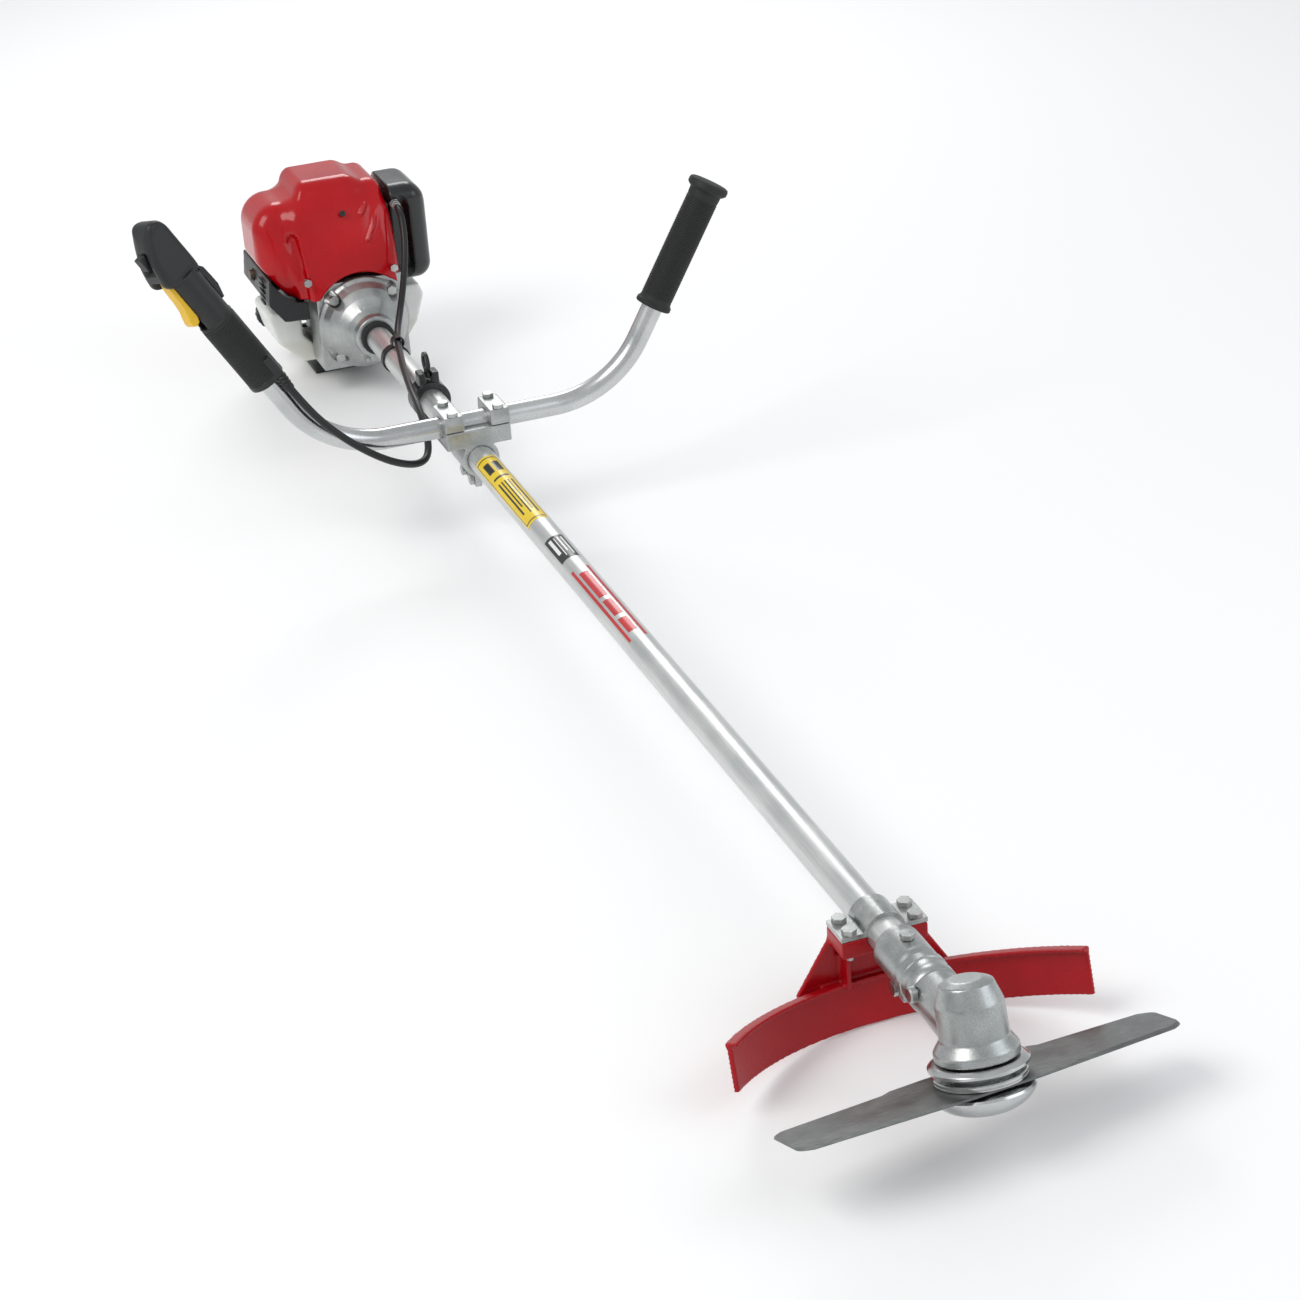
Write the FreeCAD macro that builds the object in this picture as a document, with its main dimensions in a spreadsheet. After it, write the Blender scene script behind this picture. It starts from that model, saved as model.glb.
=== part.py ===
"""Petrol brush cutter with a cow-horn handlebar, a four-stroke engine and a two-tooth blade.

Frame: millimetres, +Z up, +X along the tube from the engine to the blade, +Y to the operator's
left.  The origin is on the sole of the engine's stand, so the ground is the plane z = 0.
"""
import FreeCAD, Part
import math
import os
import re
import Sketcher
from FreeCAD import Placement, Rotation, Vector

doc = FreeCAD.newDocument("BrushCutter")

# ---------------------------------------------------------------- driving dimensions
SIZES = [
    ("tube_z", 84, "height of the tube's axis above the ground"),
    ("tube_od", 28, "outer diameter of the aluminium tube"),
    ("tube_wall", 1.5, "wall of the tube"),
    ("tube_back", 137, "end of the tube inside the clutch case"),
    ("tube_front", 1600, "end of the tube inside the gear case"),
    ("shaft_od", 8, "diameter of the drive shaft"),
    ("fit_gap", 0.05, "radial gap of a fit, running or bolted"),
    ("head_x", 1680, "where the tube's axis crosses the blade's axis"),
    ("head_tilt", 18.26, "angle between the blade's axis and the upright, degrees"),
    ("case_back", 106, "joint face of the clutch case and the fan housing"),
    ("case_front", 166, "front face of the clutch case's neck"),
    ("lug_circle", 48, "radius of the circle of the clutch case's bolts"),
    ("drum_od", 76, "outer diameter of the clutch drum"),
    ("fan_od", 92, "outer diameter of the flywheel and its fan"),
    ("bore_dia", 39, "cylinder bore"),
    ("crank_throw", 15, "half of the stroke"),
    ("rod_length", 50, "connecting rod, centre to centre"),
    ("bore_x", 19, "cylinder's axis along the crankshaft"),
    ("cover_top", 242, "top of the engine cover"),
    ("cover_left", -106, "outer side of the cover over the silencer"),
    ("cover_right", 50, "outer side of the cover at the air cleaner"),
    ("cover_wall", 2.5, "wall of the plastic mouldings"),
    ("pulley_r", 22, "radius at which the starter rope winds"),
    ("pulley_x", -48, "middle of the starter pulley"),
    ("rope_r", 1.75, "radius of the starter rope"),
    ("band_x", 240, "cable band on the tube"),
    ("hanger_x", 372, "harness eye on the tube"),
    ("bar_x", 534.5, "handlebar's plane along the tube"),
    ("bar_z", 117, "height of the handlebar's straight middle"),
    ("bar_od", 22, "outer diameter of the handlebar"),
    ("bar_wall", 2, "wall of the handlebar"),
    ("bar_flat", 88, "half of the handlebar's straight middle"),
    ("bar_bend", 110, "bend radius of the handlebar at its centre line"),
    ("bar_turn", 59.5, "angle through which each horn bends, degrees"),
    ("horn_bare", 36, "bare straight of each horn below its grip"),
    ("grip_length", 138, "length of the plain grip"),
    ("grip_r", 16.5, "radius of both grips"),
    ("cable_od", 7.5, "throttle cable with its stop wires"),
    ("clamp_x", 1520, "middle of the guard's clamp on the tube"),
    ("guard_r", 178, "outer radius of the guard's wall about the blade's axis"),
    ("guard_wall", 4, "thickness of the guard's wall"),
    ("guard_sweep", 53, "half angle of the guard's wall, degrees"),
    ("guard_rise", 7, "guard's wall above the crossing, along the blade's axis"),
    ("gear_teeth", 19, "teeth of the driven bevel gear"),
    ("pinion_teeth", 14, "teeth of the bevel pinion"),
    ("cone_distance", 24, "bevel gears' outer cone distance"),
    ("blade_dia", 305, "blade, tip to tip"),
    ("blade_bore", 25.4, "centre hole of the blade"),
    ("blade_thick", 1.8, "thickness of the blade"),
    ("blade_drop", 28, "top face of the blade below the crossing, along its axis"),
    ("blade_turn", 6.8, "angle at which the blade stands at rest, degrees"),
]
sheet = doc.addObject("Spreadsheet::Sheet", "dims")
for row, (alias, size, note) in enumerate(SIZES, start=1):
    sheet.set(f"A{row}", note)
    sheet.set(f"B{row}", str(size))
    sheet.setAlias(f"B{row}", alias)
doc.recompute()
ALIASES = {alias for alias, size, note in SIZES}

# ---------------------------------------------------------------- ways of making a piece
UP = Rotation()
ALONG_X = Rotation(Vector(0, 1, 0), 90)
ALONG_Y = Rotation(Vector(1, 0, 0), -90)
BACK_X = Rotation(Vector(0, 1, 0), -90)


def formula(text):
    """The text with the sheet's name in front of each of its aliases."""
    def full(word):
        return "dims." + word.group(0) if word.group(0) in ALIASES else word.group(0)
    return re.sub(r"[a-z_]+[a-z_0-9]*", full, text)


def number(size):
    """A size in millimetres, given as a number or as a formula of the sheet's aliases."""
    if isinstance(size, str):
        found = sheet.evalExpression(formula(size))
        return float(getattr(found, "Value", found))
    return float(size)


def bind(piece, name, size):
    """Set a property, and tie it to the sheet if its size is a formula."""
    setattr(piece, name, number(size))
    if isinstance(size, str):
        piece.setExpression(name, formula(size))


def place(piece, at, turn=UP):
    """Put a piece at a point, each coordinate a number or a formula, and turn it."""
    piece.Placement = Placement(Vector(*[number(part) for part in at]), turn)
    for axis, part in zip("xyz", at):
        if isinstance(part, str):
            piece.setExpression("Placement.Base." + axis, formula(part))
    return piece


def rod(name, radius, length, at, turn=UP):
    piece = doc.addObject("Part::Cylinder", name)
    bind(piece, "Radius", radius)
    bind(piece, "Height", length)
    return place(piece, at, turn)


def block(name, sides, at, turn=UP):
    piece = doc.addObject("Part::Box", name)
    for prop, side in zip(("Length", "Width", "Height"), sides):
        bind(piece, prop, side)
    return place(piece, at, turn)


def span(name, low, high):
    """A block from its low corner to its high corner."""
    sides = [f"({b}) - ({a})" for a, b in zip(low, high)]
    return block(name, sides, low)


def join(name, pieces):
    if len(pieces) == 1:
        return pieces[0]
    piece = doc.addObject("Part::MultiFuse", name)
    piece.Shapes = pieces
    return piece


def cut(name, base, tools):
    piece = doc.addObject("Part::Cut", name)
    piece.Base = base
    piece.Tool = join(name + "_tool", tools)
    return piece


def group(name, pieces):
    """Like pieces that share one node and stay separate solids."""
    piece = doc.addObject("Part::Compound", name)
    piece.Links = pieces
    return piece


def shaped(name, shape):
    """A piece whose shape is made by Part's functions from the sheet's sizes."""
    piece = doc.addObject("Part::Feature", name)
    piece.Shape = shape
    return piece


def plane_of(body, role):
    return next(item for item in body.Origin.OriginFeatures if item.Role == role)


def outline(body, role, corners):
    """A closed sketch of straight sides whose corners are tied to the sheet."""
    sketch = body.newObject("Sketcher::SketchObject", body.Name + "_sketch")
    sketch.AttachmentSupport = [(plane_of(body, role), "")]
    sketch.MapMode = "FlatFace"
    spots = [Vector(number(across), number(up), 0) for across, up in corners]
    for here, there in zip(spots, spots[1:] + spots[:1]):
        sketch.addGeometry(Part.LineSegment(here, there), False)
    last = len(corners) - 1
    for side, (across, up) in enumerate(corners):
        before = last if side == 0 else side - 1
        sketch.addConstraint(Sketcher.Constraint("Coincident", before, 2, side, 1))
        for kind, size, axis in (("DistanceX", across, -2), ("DistanceY", up, -1)):
            if abs(number(size)) < 1e-9:
                sketch.addConstraint(Sketcher.Constraint("PointOnObject", side, 1, axis))
                continue
            rule = sketch.addConstraint(Sketcher.Constraint(kind, side, 1, number(size)))
            if isinstance(size, str):
                sketch.setExpression(f"Constraints[{rule}]", formula(size))
    return sketch


def turned(name, profile, at, turn=UP):
    """A body of revolution about its own Z axis; the profile is (radius, height) corners."""
    body = doc.addObject("PartDesign::Body", name)
    sketch = outline(body, "XZ_Plane", profile)
    spin = body.newObject("PartDesign::Revolution", name + "_spin")
    spin.Profile = sketch
    spin.ReferenceAxis = (sketch, ["V_Axis"])
    spin.Angle = 360
    return place(body, at, turn)


def padded(name, role, corners, length, at, turn=UP, both_ways=False):
    """A body padded from a flat outline, square to the sketch's plane."""
    body = doc.addObject("PartDesign::Body", name)
    pad = body.newObject("PartDesign::Pad", name + "_pad")
    pad.Profile = outline(body, role, corners)
    pad.Midplane = both_ways
    bind(pad, "Length", length)
    return place(body, at, turn)


def soften(body, radius, pick):
    """Round the edges of a body whose middle, in the body's own frame, passes the test."""
    doc.recompute()
    base = body.Tip
    names = []
    for count, edge in enumerate(base.Shape.Edges, start=1):
        middle = edge.valueAt((edge.FirstParameter + edge.LastParameter) / 2)
        if pick(middle, edge):
            names.append(f"Edge{count}")
    fillet = body.newObject("PartDesign::Fillet", body.Name + "_soft")
    fillet.Base = (base, names)
    bind(fillet, "Radius", radius)
    return body


def tube_at(along):
    return (along, 0, "tube_z")


def head_at(up):
    """A point of the blade's axis, by its height above the crossing along that axis."""
    return (f"head_x - ({up}) * sin(head_tilt)", 0, f"tube_z + ({up}) * cos(head_tilt)")


HEAD = Rotation(Vector(0, 1, 0), -number("head_tilt"))


def hex_bolt(name, radius, length, at, turn):
    """A bolt with its shank along local +Z and its head below its origin."""
    shank = rod(name + "_shank", radius, length, at, turn)
    head = doc.addObject("Part::Prism", name + "_head")
    head.Polygon = 6
    bind(head, "Circumradius", f"({radius}) * 1.9")
    bind(head, "Height", f"({radius}) * 1.3")
    way = turn.multVec(Vector(0, 0, 1)) * (-1.3 * number(radius))
    place(head, [number(part) + step for part, step in zip(at, way)], turn)
    return join(name, [head, shank])


# ---------------------------------------------------------------- tube and drive shaft
cut("shaft_tube",
    rod("tube_bar", "tube_od / 2", "tube_front - tube_back", tube_at("tube_back"), ALONG_X),
    [rod("tube_hole", "tube_od / 2 - tube_wall", "tube_front - tube_back", tube_at("tube_back"), ALONG_X)])

BUSH_COUNT = 5
BUSH_LENGTH = 26
bushes = []
for place_no in range(BUSH_COUNT):
    share = (place_no + 0.5) / BUSH_COUNT
    bushes.append(turned(f"bush_{place_no}",
                         [("shaft_od / 2 + fit_gap", 0),
                          ("tube_od / 2 - tube_wall - fit_gap", 0),
                          ("tube_od / 2 - tube_wall - fit_gap", BUSH_LENGTH),
                          ("shaft_od / 2 + fit_gap", BUSH_LENGTH)],
                         tube_at(f"tube_back + (tube_front - tube_back) * {share} - {BUSH_LENGTH / 2}"),
                         ALONG_X))
group("shaft_bushes", bushes)

rod("drive_shaft", "shaft_od / 2", "head_x - 46 - case_back - 12", tube_at("case_back + 12"), ALONG_X)

# ---------------------------------------------------------------- centrifugal clutch
# The drum is a pressed cup open to the engine, on a hollow spindle that the shaft's end enters.
drum_cup = turned("drum_cup",
                  [(0, 4), ("drum_od / 2", 4), ("drum_od / 2", -17), ("drum_od / 2 - 2.5", -17),
                   ("drum_od / 2 - 2.5", 1.5), (0, 1.5)],
                  tube_at("case_back + 4"), ALONG_X)
drum_hub = turned("drum_hub",
                  [(0, 4), (6, 4), (6, 27), ("shaft_od / 2", 27), ("shaft_od / 2", 8), (0, 8)],
                  tube_at("case_back + 4"), ALONG_X)
join("clutch_drum", [drum_cup, drum_hub])

BEARING_WIDTH = 8


def ball_bearing(name, inner, outer, at, turn):
    """Two races and the seal between them, drawn as one ring with a grooved face."""
    middle = (inner + outer) / 2
    return turned(name, [(inner, 0), (middle - 1.5, 0), (middle - 1.5, 0.6), (middle + 1.5, 0.6),
                         (middle + 1.5, 0), (outer, 0), (outer, BEARING_WIDTH),
                         (middle + 1.5, BEARING_WIDTH), (middle + 1.5, BEARING_WIDTH - 0.6),
                         (middle - 1.5, BEARING_WIDTH - 0.6), (middle - 1.5, BEARING_WIDTH),
                         (inner, BEARING_WIDTH)], at, turn)


group("drum_bearings", [ball_bearing("drum_bearing_0", 6.05, 13.95, tube_at("case_back + 11"), ALONG_X),
                        ball_bearing("drum_bearing_1", 6.05, 13.95, tube_at("case_back + 20"), ALONG_X)])

case_shell = turned("case_shell",
                    [(39.5, 0), (46.5, 0), (46.5, 5), (41, 8.5), (37, 22), (25, 40), (23, 44),
                     (23, "case_front - case_back"),
                     ("tube_od / 2 + fit_gap", "case_front - case_back"),
                     ("tube_od / 2 + fit_gap", "tube_back - case_back"),
                     (11.5, "tube_back - case_back"), (11.5, 28.5), (14, 28.5), (14, 10.5),
                     (39.5, 10.5)],
                    tube_at("case_back"), ALONG_X)
lugs = []
holes = []
for corner in range(4):
    angle = math.radians(45 + 90 * corner)
    lug_y = number("lug_circle") * math.cos(angle)
    lug_z = number("tube_z") + number("lug_circle") * math.sin(angle)
    lugs.append(rod(f"case_lug_{corner}", 7.5, 9, ("case_back", lug_y, lug_z), ALONG_X))
    holes.append(rod(f"case_hole_{corner}", 3.1, 12, ("case_back - 1", lug_y, lug_z), ALONG_X))
clear_drum = rod("case_clear", 39.5, 10.5, tube_at("case_back"), ALONG_X)
clamp_lug = block("case_clamp_lug", (20, 20, 10), ("case_front - 22", -10, "tube_z - 30"))
clamp_slit = block("case_slit", (26, 2, 20), ("case_front - 24", -1, "tube_z - 32"))
clamp_hole = rod("case_clamp_hole", 3.1, 24, ("case_front - 12", -12, "tube_z - 25.5"), ALONG_Y)
tube_room = rod("case_tube_room", "tube_od / 2 + fit_gap", 40, tube_at("tube_back"), ALONG_X)
vents = []
for slot in range(6):
    sweep = Rotation(Vector(1, 0, 0), 60 * slot)
    vent = block(f"case_vent_{slot}", (9, 12, 24), (0, 0, 0))
    seat = Placement(Vector(number("case_back") + 13, 0, number("tube_z")), sweep)
    vent.Placement = seat.multiply(Placement(Vector(0, -6, 24), UP))
    vents.append(vent)
cut("clutch_case", join("case_solid", [case_shell, clamp_lug] + lugs),
    [clear_drum, clamp_slit, clamp_hole, tube_room] + holes + vents)

bolts = []
for corner in range(4):
    angle = math.radians(45 + 90 * corner)
    lug_y = number("lug_circle") * math.cos(angle)
    lug_z = number("tube_z") + number("lug_circle") * math.sin(angle)
    bolts.append(hex_bolt(f"case_bolt_{corner}", 3, 20, ("case_back + 9.3", lug_y, lug_z), BACK_X))
bolts.append(hex_bolt("neck_bolt", 3, 22, ("case_front - 12", -10.2, "tube_z - 25.5"), ALONG_Y))
group("clutch_case_bolts", bolts)

# Two weighted shoes stand on the flywheel's face inside the drum, drawn in by a coil spring.
shoes = []
for side in (0, 180):
    shoe_body = doc.addObject("PartDesign::Body", f"shoe_{side}")
    arc_sketch = outline(shoe_body, "XZ_Plane",
                         [(14, 0), ("drum_od / 2 - 4.5", 0), ("drum_od / 2 - 4.5", 12), (14, 12)])
    arc_spin = shoe_body.newObject("PartDesign::Revolution", f"shoe_{side}_spin")
    arc_spin.Profile = arc_sketch
    arc_spin.ReferenceAxis = (arc_sketch, ["V_Axis"])
    arc_spin.Angle = 150
    place(shoe_body, tube_at("case_back - 12.5"),
          ALONG_X.multiply(Rotation(Vector(0, 0, 1), side + 15)))
    shoes.append(shoe_body)
group("clutch_shoes", shoes)

# ---------------------------------------------------------------- crank train, at top dead centre
fan_hub = turned("fan_hub",
                 [(7.6, 0), ("fan_od / 2 - 2", 0), ("fan_od / 2 - 2", 14), (20, 14), (20, 24),
                  (7.6, 24)],
                 tube_at(60), ALONG_X)
blades = []
FAN_BLADES = 12
for count in range(FAN_BLADES):
    fan_blade = block(f"fan_blade_{count}", (9, 2, "fan_od / 2 - 24.5"), (0, 0, 0))
    seat = Placement(Vector(73.5, 0, number("tube_z")), Rotation(Vector(1, 0, 0), 360 / FAN_BLADES * count))
    fan_blade.Placement = seat.multiply(Placement(Vector(0, -1, 24), UP))
    blades.append(fan_blade)
join("flywheel", [fan_hub] + blades)

web_outline = [(-13, -22), (13, -22), (13, 8), (8, 23), (-8, 23), (-13, 8)]
crank_pieces = [rod("main_journal", 7.5, 72, tube_at(15.0 - 50), ALONG_X),
                rod("front_journal", 7.5, 58, tube_at(28), ALONG_X),
                rod("crank_pin", 6, 22, ("bore_x - 11", 0, "tube_z + crank_throw"), ALONG_X)]
for side, start in (("back", 3), ("front", 26)):
    crank_pieces.append(padded(f"crank_web_{side}", "YZ_Plane", web_outline, 8, tube_at(start)))
throw_room = block("throw_room", (14, 40, 70), (12, -20, "tube_z - 35"))
pin_again = rod("crank_pin_middle", 6, 16, (11, 0, "tube_z + crank_throw"), ALONG_X)
join("crankshaft", [cut("crank_blank", join("crank_sum", crank_pieces), [throw_room]), pin_again])

rod_shank = block("rod_shank", (6, 9, "rod_length - 14"), (16, -4.5, "tube_z + crank_throw + 8"))
big_end = rod("rod_big_end", 10, 11, (13.5, 0, "tube_z + crank_throw"), ALONG_X)
small_end = rod("rod_small_end", 7, 11, (13.5, 0, "tube_z + crank_throw + rod_length"), ALONG_X)
cut("connecting_rod", join("rod_blank", [rod_shank, big_end, small_end]),
    [rod("big_end_hole", 6.05, 13, (12.5, 0, "tube_z + crank_throw"), ALONG_X),
     rod("small_end_hole", 4.05, 13, (12.5, 0, "tube_z + crank_throw + rod_length"), ALONG_X)])

crown = turned("piston_crown",
               [(0, 8), (16.5, 8), (16.5, -11), ("bore_dia / 2 - 0.1", -11),
                ("bore_dia / 2 - 0.1", 4), ("bore_dia / 2 - 0.9", 4), ("bore_dia / 2 - 0.9", 5.5),
                ("bore_dia / 2 - 0.1", 5.5), ("bore_dia / 2 - 0.1", 8.5),
                ("bore_dia / 2 - 0.9", 8.5), ("bore_dia / 2 - 0.9", 10),
                ("bore_dia / 2 - 0.1", 10), ("bore_dia / 2 - 0.1", 12), (0, 12)],
               ("bore_x", 0, "tube_z + crank_throw + rod_length"))
wrist_pin = rod("wrist_pin", 4, 34, ("bore_x - 17", 0, "tube_z + crank_throw + rod_length"), ALONG_X)
join("piston", [crown, wrist_pin])

# ---------------------------------------------------------------- cylinder and crankcase
BORE = "bore_dia / 2"
cylinder = rod("cylinder_wall", "bore_dia / 2 + 4.5", 88, ("bore_x", 0, 116))
fins = [block(f"fin_{count}", (72, 76, 2), ("bore_x - 36", -38, 130 + 7 * count)) for count in range(8)]
head = span("head_block", ("bore_x - 30", -32, 184), ("bore_x + 30", 32, 212))
rocker_lid = span("rocker_lid", ("bore_x - 32", -34, 212.2), ("bore_x + 32", 34, 228))
crankcase = span("crankcase", (-18.5, -40, 46), (57, 40, 122))
crank_room = span("crank_room", (-12, -32, 54), (49, 32, 114))
bore_hole = rod("bore_hole", BORE, 66, ("bore_x", 0, 105))
journal_hole = rod("journal_hole", 7.55, 120, tube_at(-40), ALONG_X)
feet = [span(f"case_foot_{n}", (x, -26, 29), (x + 14, 26, 47)) for n, x in enumerate((-19, 42))]
plug_hole = rod("plug_hole", 5.1, 20, ("bore_x - 22", 0, 172))
plug_well = rod("plug_well", 9, 60, ("bore_x - 22", 0, 184.9))
oil_hole = rod("oil_hole", 8.1, 12, (18, 34, 86), ALONG_Y)
oil_boss = rod("oil_boss", 11, 8, (18, 38, 86), ALONG_Y)
cut("engine_block", join("block_sum", [cylinder, head, rocker_lid, crankcase, oil_boss] + fins + feet
                         + [span("head_joint", ("bore_x - 28", -30, 211), ("bore_x + 28", 30, 213))]),
    [crank_room, bore_hole, journal_hole, plug_hole, plug_well, oil_hole])

turned("spark_plug", [(0, 0), (4.9, 0), (4.9, 12), (8, 12), (8, 19), (5.5, 22), (5.5, 52), (8, 52),
                      (8, 59), (0, 59)], ("bore_x - 22", 0, 173))
join("ignition_coil", [span("coil_core", (62, 12, 136), (74, 38, 142)),
                       span("coil_pot", (60, 16, 142), (78, 36, 166)),
                       span("coil_leg_0", (62, 12, 142), (74, 15, 150))])

# ---------------------------------------------------------------- fan housing, silencer, shrouds
housing = span("housing_block", (57.2, -51.5, 32), (105.8, 51.5, 134))
plate_hole = rod("housing_mouth", 40, 20, tube_at(90), ALONG_X)
fan_room = rod("housing_room", "fan_od / 2 + 2.5", 36, tube_at(57), ALONG_X)
cut("fan_housing", housing, [fan_room, plate_hole, span("coil_room", (57, 8, 130), (88, 42, 140))]
    + [rod(f"housing_hole_{corner}", 3.1, 16,
           ("case_back - 13", number("lug_circle") * math.cos(math.radians(45 + 90 * corner)),
            number("tube_z") + number("lug_circle") * math.sin(math.radians(45 + 90 * corner))), ALONG_X)
       for corner in range(4)])

silencer = span("silencer_box", (-16, -94, 120), (54, -42, 176))
outlet = rod("silencer_pipe", 6, 12, (20, -107, 132), ALONG_Y)
join("muffler", [silencer, outlet, span("silencer_flange", (4, -42.1, 138), (34, -38.1, 164))])

shroud_outline = [("cover_left + 5", 147), ("cover_left + 2", 118), (-88, 96), (-59, 94), (-59, 97),
                  (-86, 99), ("cover_left + 5", 119), ("cover_left + 8", 147)]
shroud = padded("shroud_sheet", "YZ_Plane", shroud_outline, 128, (-30, 0, 0))
shroud_front = padded("shroud_front", "YZ_Plane", shroud_outline[:4] + [(-59, 115), (-72, 117), (-85, 126)],
                      2.5, (95.5, 0, 0))
cut("lower_shroud", join("shroud_solid", [shroud, shroud_front]),
    [rod("shroud_hole", 7, 20, (20, -115, 132), ALONG_Y)])

# The cover is one red moulding, open below, that hooks over the cylinder.
COVER_DEPTH = 132
over = [("cover_left + 6", 150), ("cover_left", 198), ("cover_left + 9", 216), (-54, "cover_top - 1"),
        (8, "cover_top"), (41, "cover_top - 9"), ("cover_right", 211), ("cover_right", 128), (42, 117),
        (-70, 119), (-84, 128)]
under = [("cover_left + 9", 140), ("cover_left + 3", 197), ("cover_left + 11", 213.5),
         (-53, "cover_top - 4"), (8, "cover_top - 3"), (39, "cover_top - 11.5"),
         ("cover_right - 3", 210), ("cover_right - 3", 100), (42, 100), (-70, 100), (-84, 100)]
outer = padded("cover_outside", "YZ_Plane", over, COVER_DEPTH, (110 - COVER_DEPTH, 0, 0))
soften(outer, 9, lambda spot, edge: spot.z > 160 and abs(spot.x - COVER_DEPTH) < 0.1)
inner = padded("cover_inside", "YZ_Plane", under, COVER_DEPTH - 5.5, (113 - COVER_DEPTH, 0, 0))
slant = block("cover_slant", (60, 220, 90), (107, -130, 150), Rotation(Vector(0, 1, 0), -24))
slant_in = block("cover_slant_in", (60, 220, 90), (103.6, -130, 150), Rotation(Vector(0, 1, 0), -24))
trimmed_in = cut("cover_room", inner, [slant_in])
cover_notches = [rod("flange_notch", 57, 10, tube_at(103), ALONG_X),
                 rod("recoil_notch", 54, 8, tube_at(-25), ALONG_X),
                 span("carb_notch", (-8, 40, 110), (66, 60, 212)),
                 span("housing_notch", (56, -53, 100), (106.4, 53, 135)),
                 rod("cover_hole_0", 2.6, 8, (104, -60, 142), ALONG_X),
                 rod("cover_hole_1", 2.6, 8, (104, 41, 142), ALONG_X)]
cut("top_cover", cut("cover_skin", outer, [slant]), [trimmed_in] + cover_notches)

cover_bolts = [hex_bolt("cover_bolt_0", 2.5, 8, (110.4, -60, 142), BACK_X),
               hex_bolt("cover_bolt_1", 2.5, 8, (110.4, 41, 142), BACK_X)]
group("cover_screws", cover_bolts)

# ---------------------------------------------------------------- intake side
carb = span("carb_block", (0, 38.2, 150), (40, 66, 190))
throat = rod("carb_throat", 8, 40, (18, 32, 170), ALONG_Y)
spindle_room = rod("carb_spindle_room", 3.05, 60, (18, 50, 145))
gland = rod("cable_gland", 5, 16, (58, 58, 205), ALONG_X)
gland_arm = span("gland_arm", (34, 52, 186), (64, 64, 201.5))
cut("carburettor", join("carb_solid", [carb, gland, gland_arm]),
    [throat, spindle_room, span("lever_room", (2, 40, 190), (33, 66, 206)),
     rod("primer_well", 7.4, 8, (8, 62.4, 158.5), ALONG_Y)])
throttle_disc = doc.addObject("Part::Cylinder", "throttle_disc")
bind(throttle_disc, "Radius", 7.4)
bind(throttle_disc, "Height", 1)
place(throttle_disc, (18, 49.5, 170), ALONG_Y)
join("throttle_valve", [rod("throttle_spindle", 3, 44, (18, 50, 152)), throttle_disc,
                        rod("throttle_cam", 7, 3, (18, 50, 193))])
choke_hub = rod("choke_hub", 6, 3, (30, 66.6, 176), ALONG_Y)
join("choke_lever", [choke_hub, span("choke_arm", (27, 66.6, 150), (33, 69.6, 176)),
                     span("choke_tab", (25, 66.6, 144), (35, 71, 151))])
turned("primer_bulb", [(0, 0), (7, 0), (7, 2), (6.3, 4), (4.6, 6.2), (2.2, 7.2), (0, 7.4)],
       (8, 66.3, 158.5), ALONG_Y)
span("air_filter", (4, 76, 124), (70, 90, 214))
case_out = [(-4, 52.5), (80, 52.5), (84, 58), (84, 86), (76, 95), (2, 95), (-4, 89)]
case_in = [(-1.5, 50), (81.5, 50), (81.5, 85), (75, 92.5), (3, 92.5), (-1.5, 88)]
CLEANER_LOW = 112
CLEANER_TALL = 112
cleaner = padded("cleaner_outside", "XY_Plane", case_out, CLEANER_TALL, (0, 0, CLEANER_LOW))
soften(cleaner, 7, lambda spot, edge: spot.y > 90 and abs(spot.z - CLEANER_TALL) < 0.1)
cleaner_room = padded("cleaner_room", "XY_Plane", case_in, CLEANER_TALL - 6, (0, 0, CLEANER_LOW + 3))
front_notch = span("cleaner_notch", (50, 50, 184), (90, 66, 240))
cut("air_cleaner_cover", cleaner, [cleaner_room, front_notch])

# ---------------------------------------------------------------- fuel tank, stand, caps
tank_out = [(-99, 88), (-91, 56), (-62, 28.5), (58, 28.5), (76, 52), (87, 84), (82, 98), (62, 98),
            (62, 60), (44, 43), (-44, 43), (-60, 60), (-60, 90), (-94, 93)]
tank_in = [(-96, 87), (-88.5, 57), (-61, 31.5), (57, 31.5), (73.5, 53), (84, 84), (80, 95.2),
           (64.8, 95.2), (64.8, 59), (45.2, 40.2), (-45.2, 40.2), (-62.8, 59), (-62.8, 87.2),
           (-92.5, 90.2)]
tank = padded("tank_outside", "YZ_Plane", tank_out, 73, (-18.5, 0, 0))
tank_room = padded("tank_inside", "YZ_Plane", tank_in, 67.4, (-15.7, 0, 0))
feet_room = [span(f"tank_foot_room_{n}", (x - 1.5, -28, 27), (x + 15.5, 28, 44))
             for n, x in enumerate((-19, 42))]
neck_at = (-17.5, -80, 66)
tank_neck = rod("tank_neck", 13, 9, neck_at, BACK_X)
neck_hole = rod("tank_neck_hole", 10, 14, (-13.5, -80, 66), BACK_X)
foot_walls = [span(f"tank_foot_wall_{n}", (x + 0.6, -30.5, 29), (x + 12, 30.5, 42.5))
              for n, x in enumerate((-19, 42))]
hollow = cut("tank_hollow", tank, [tank_room])
walled = join("tank_walled", [hollow, tank_neck] + foot_walls)
cut("fuel_tank", walled, feet_room + [neck_hole])
turned("fuel_cap", [(0, 9.5), (13.4, 9.5), (13.4, 1), (18, 1), (18, 14), (16, 16), (0, 16)],
             neck_at, BACK_X)
turned("oil_cap", [(0, -9), (7.9, -9), (7.9, 0.3), (13, 0.3), (13, 6), (11, 7), (0, 7)],
       (18, 46, 86), ALONG_Y)

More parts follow.
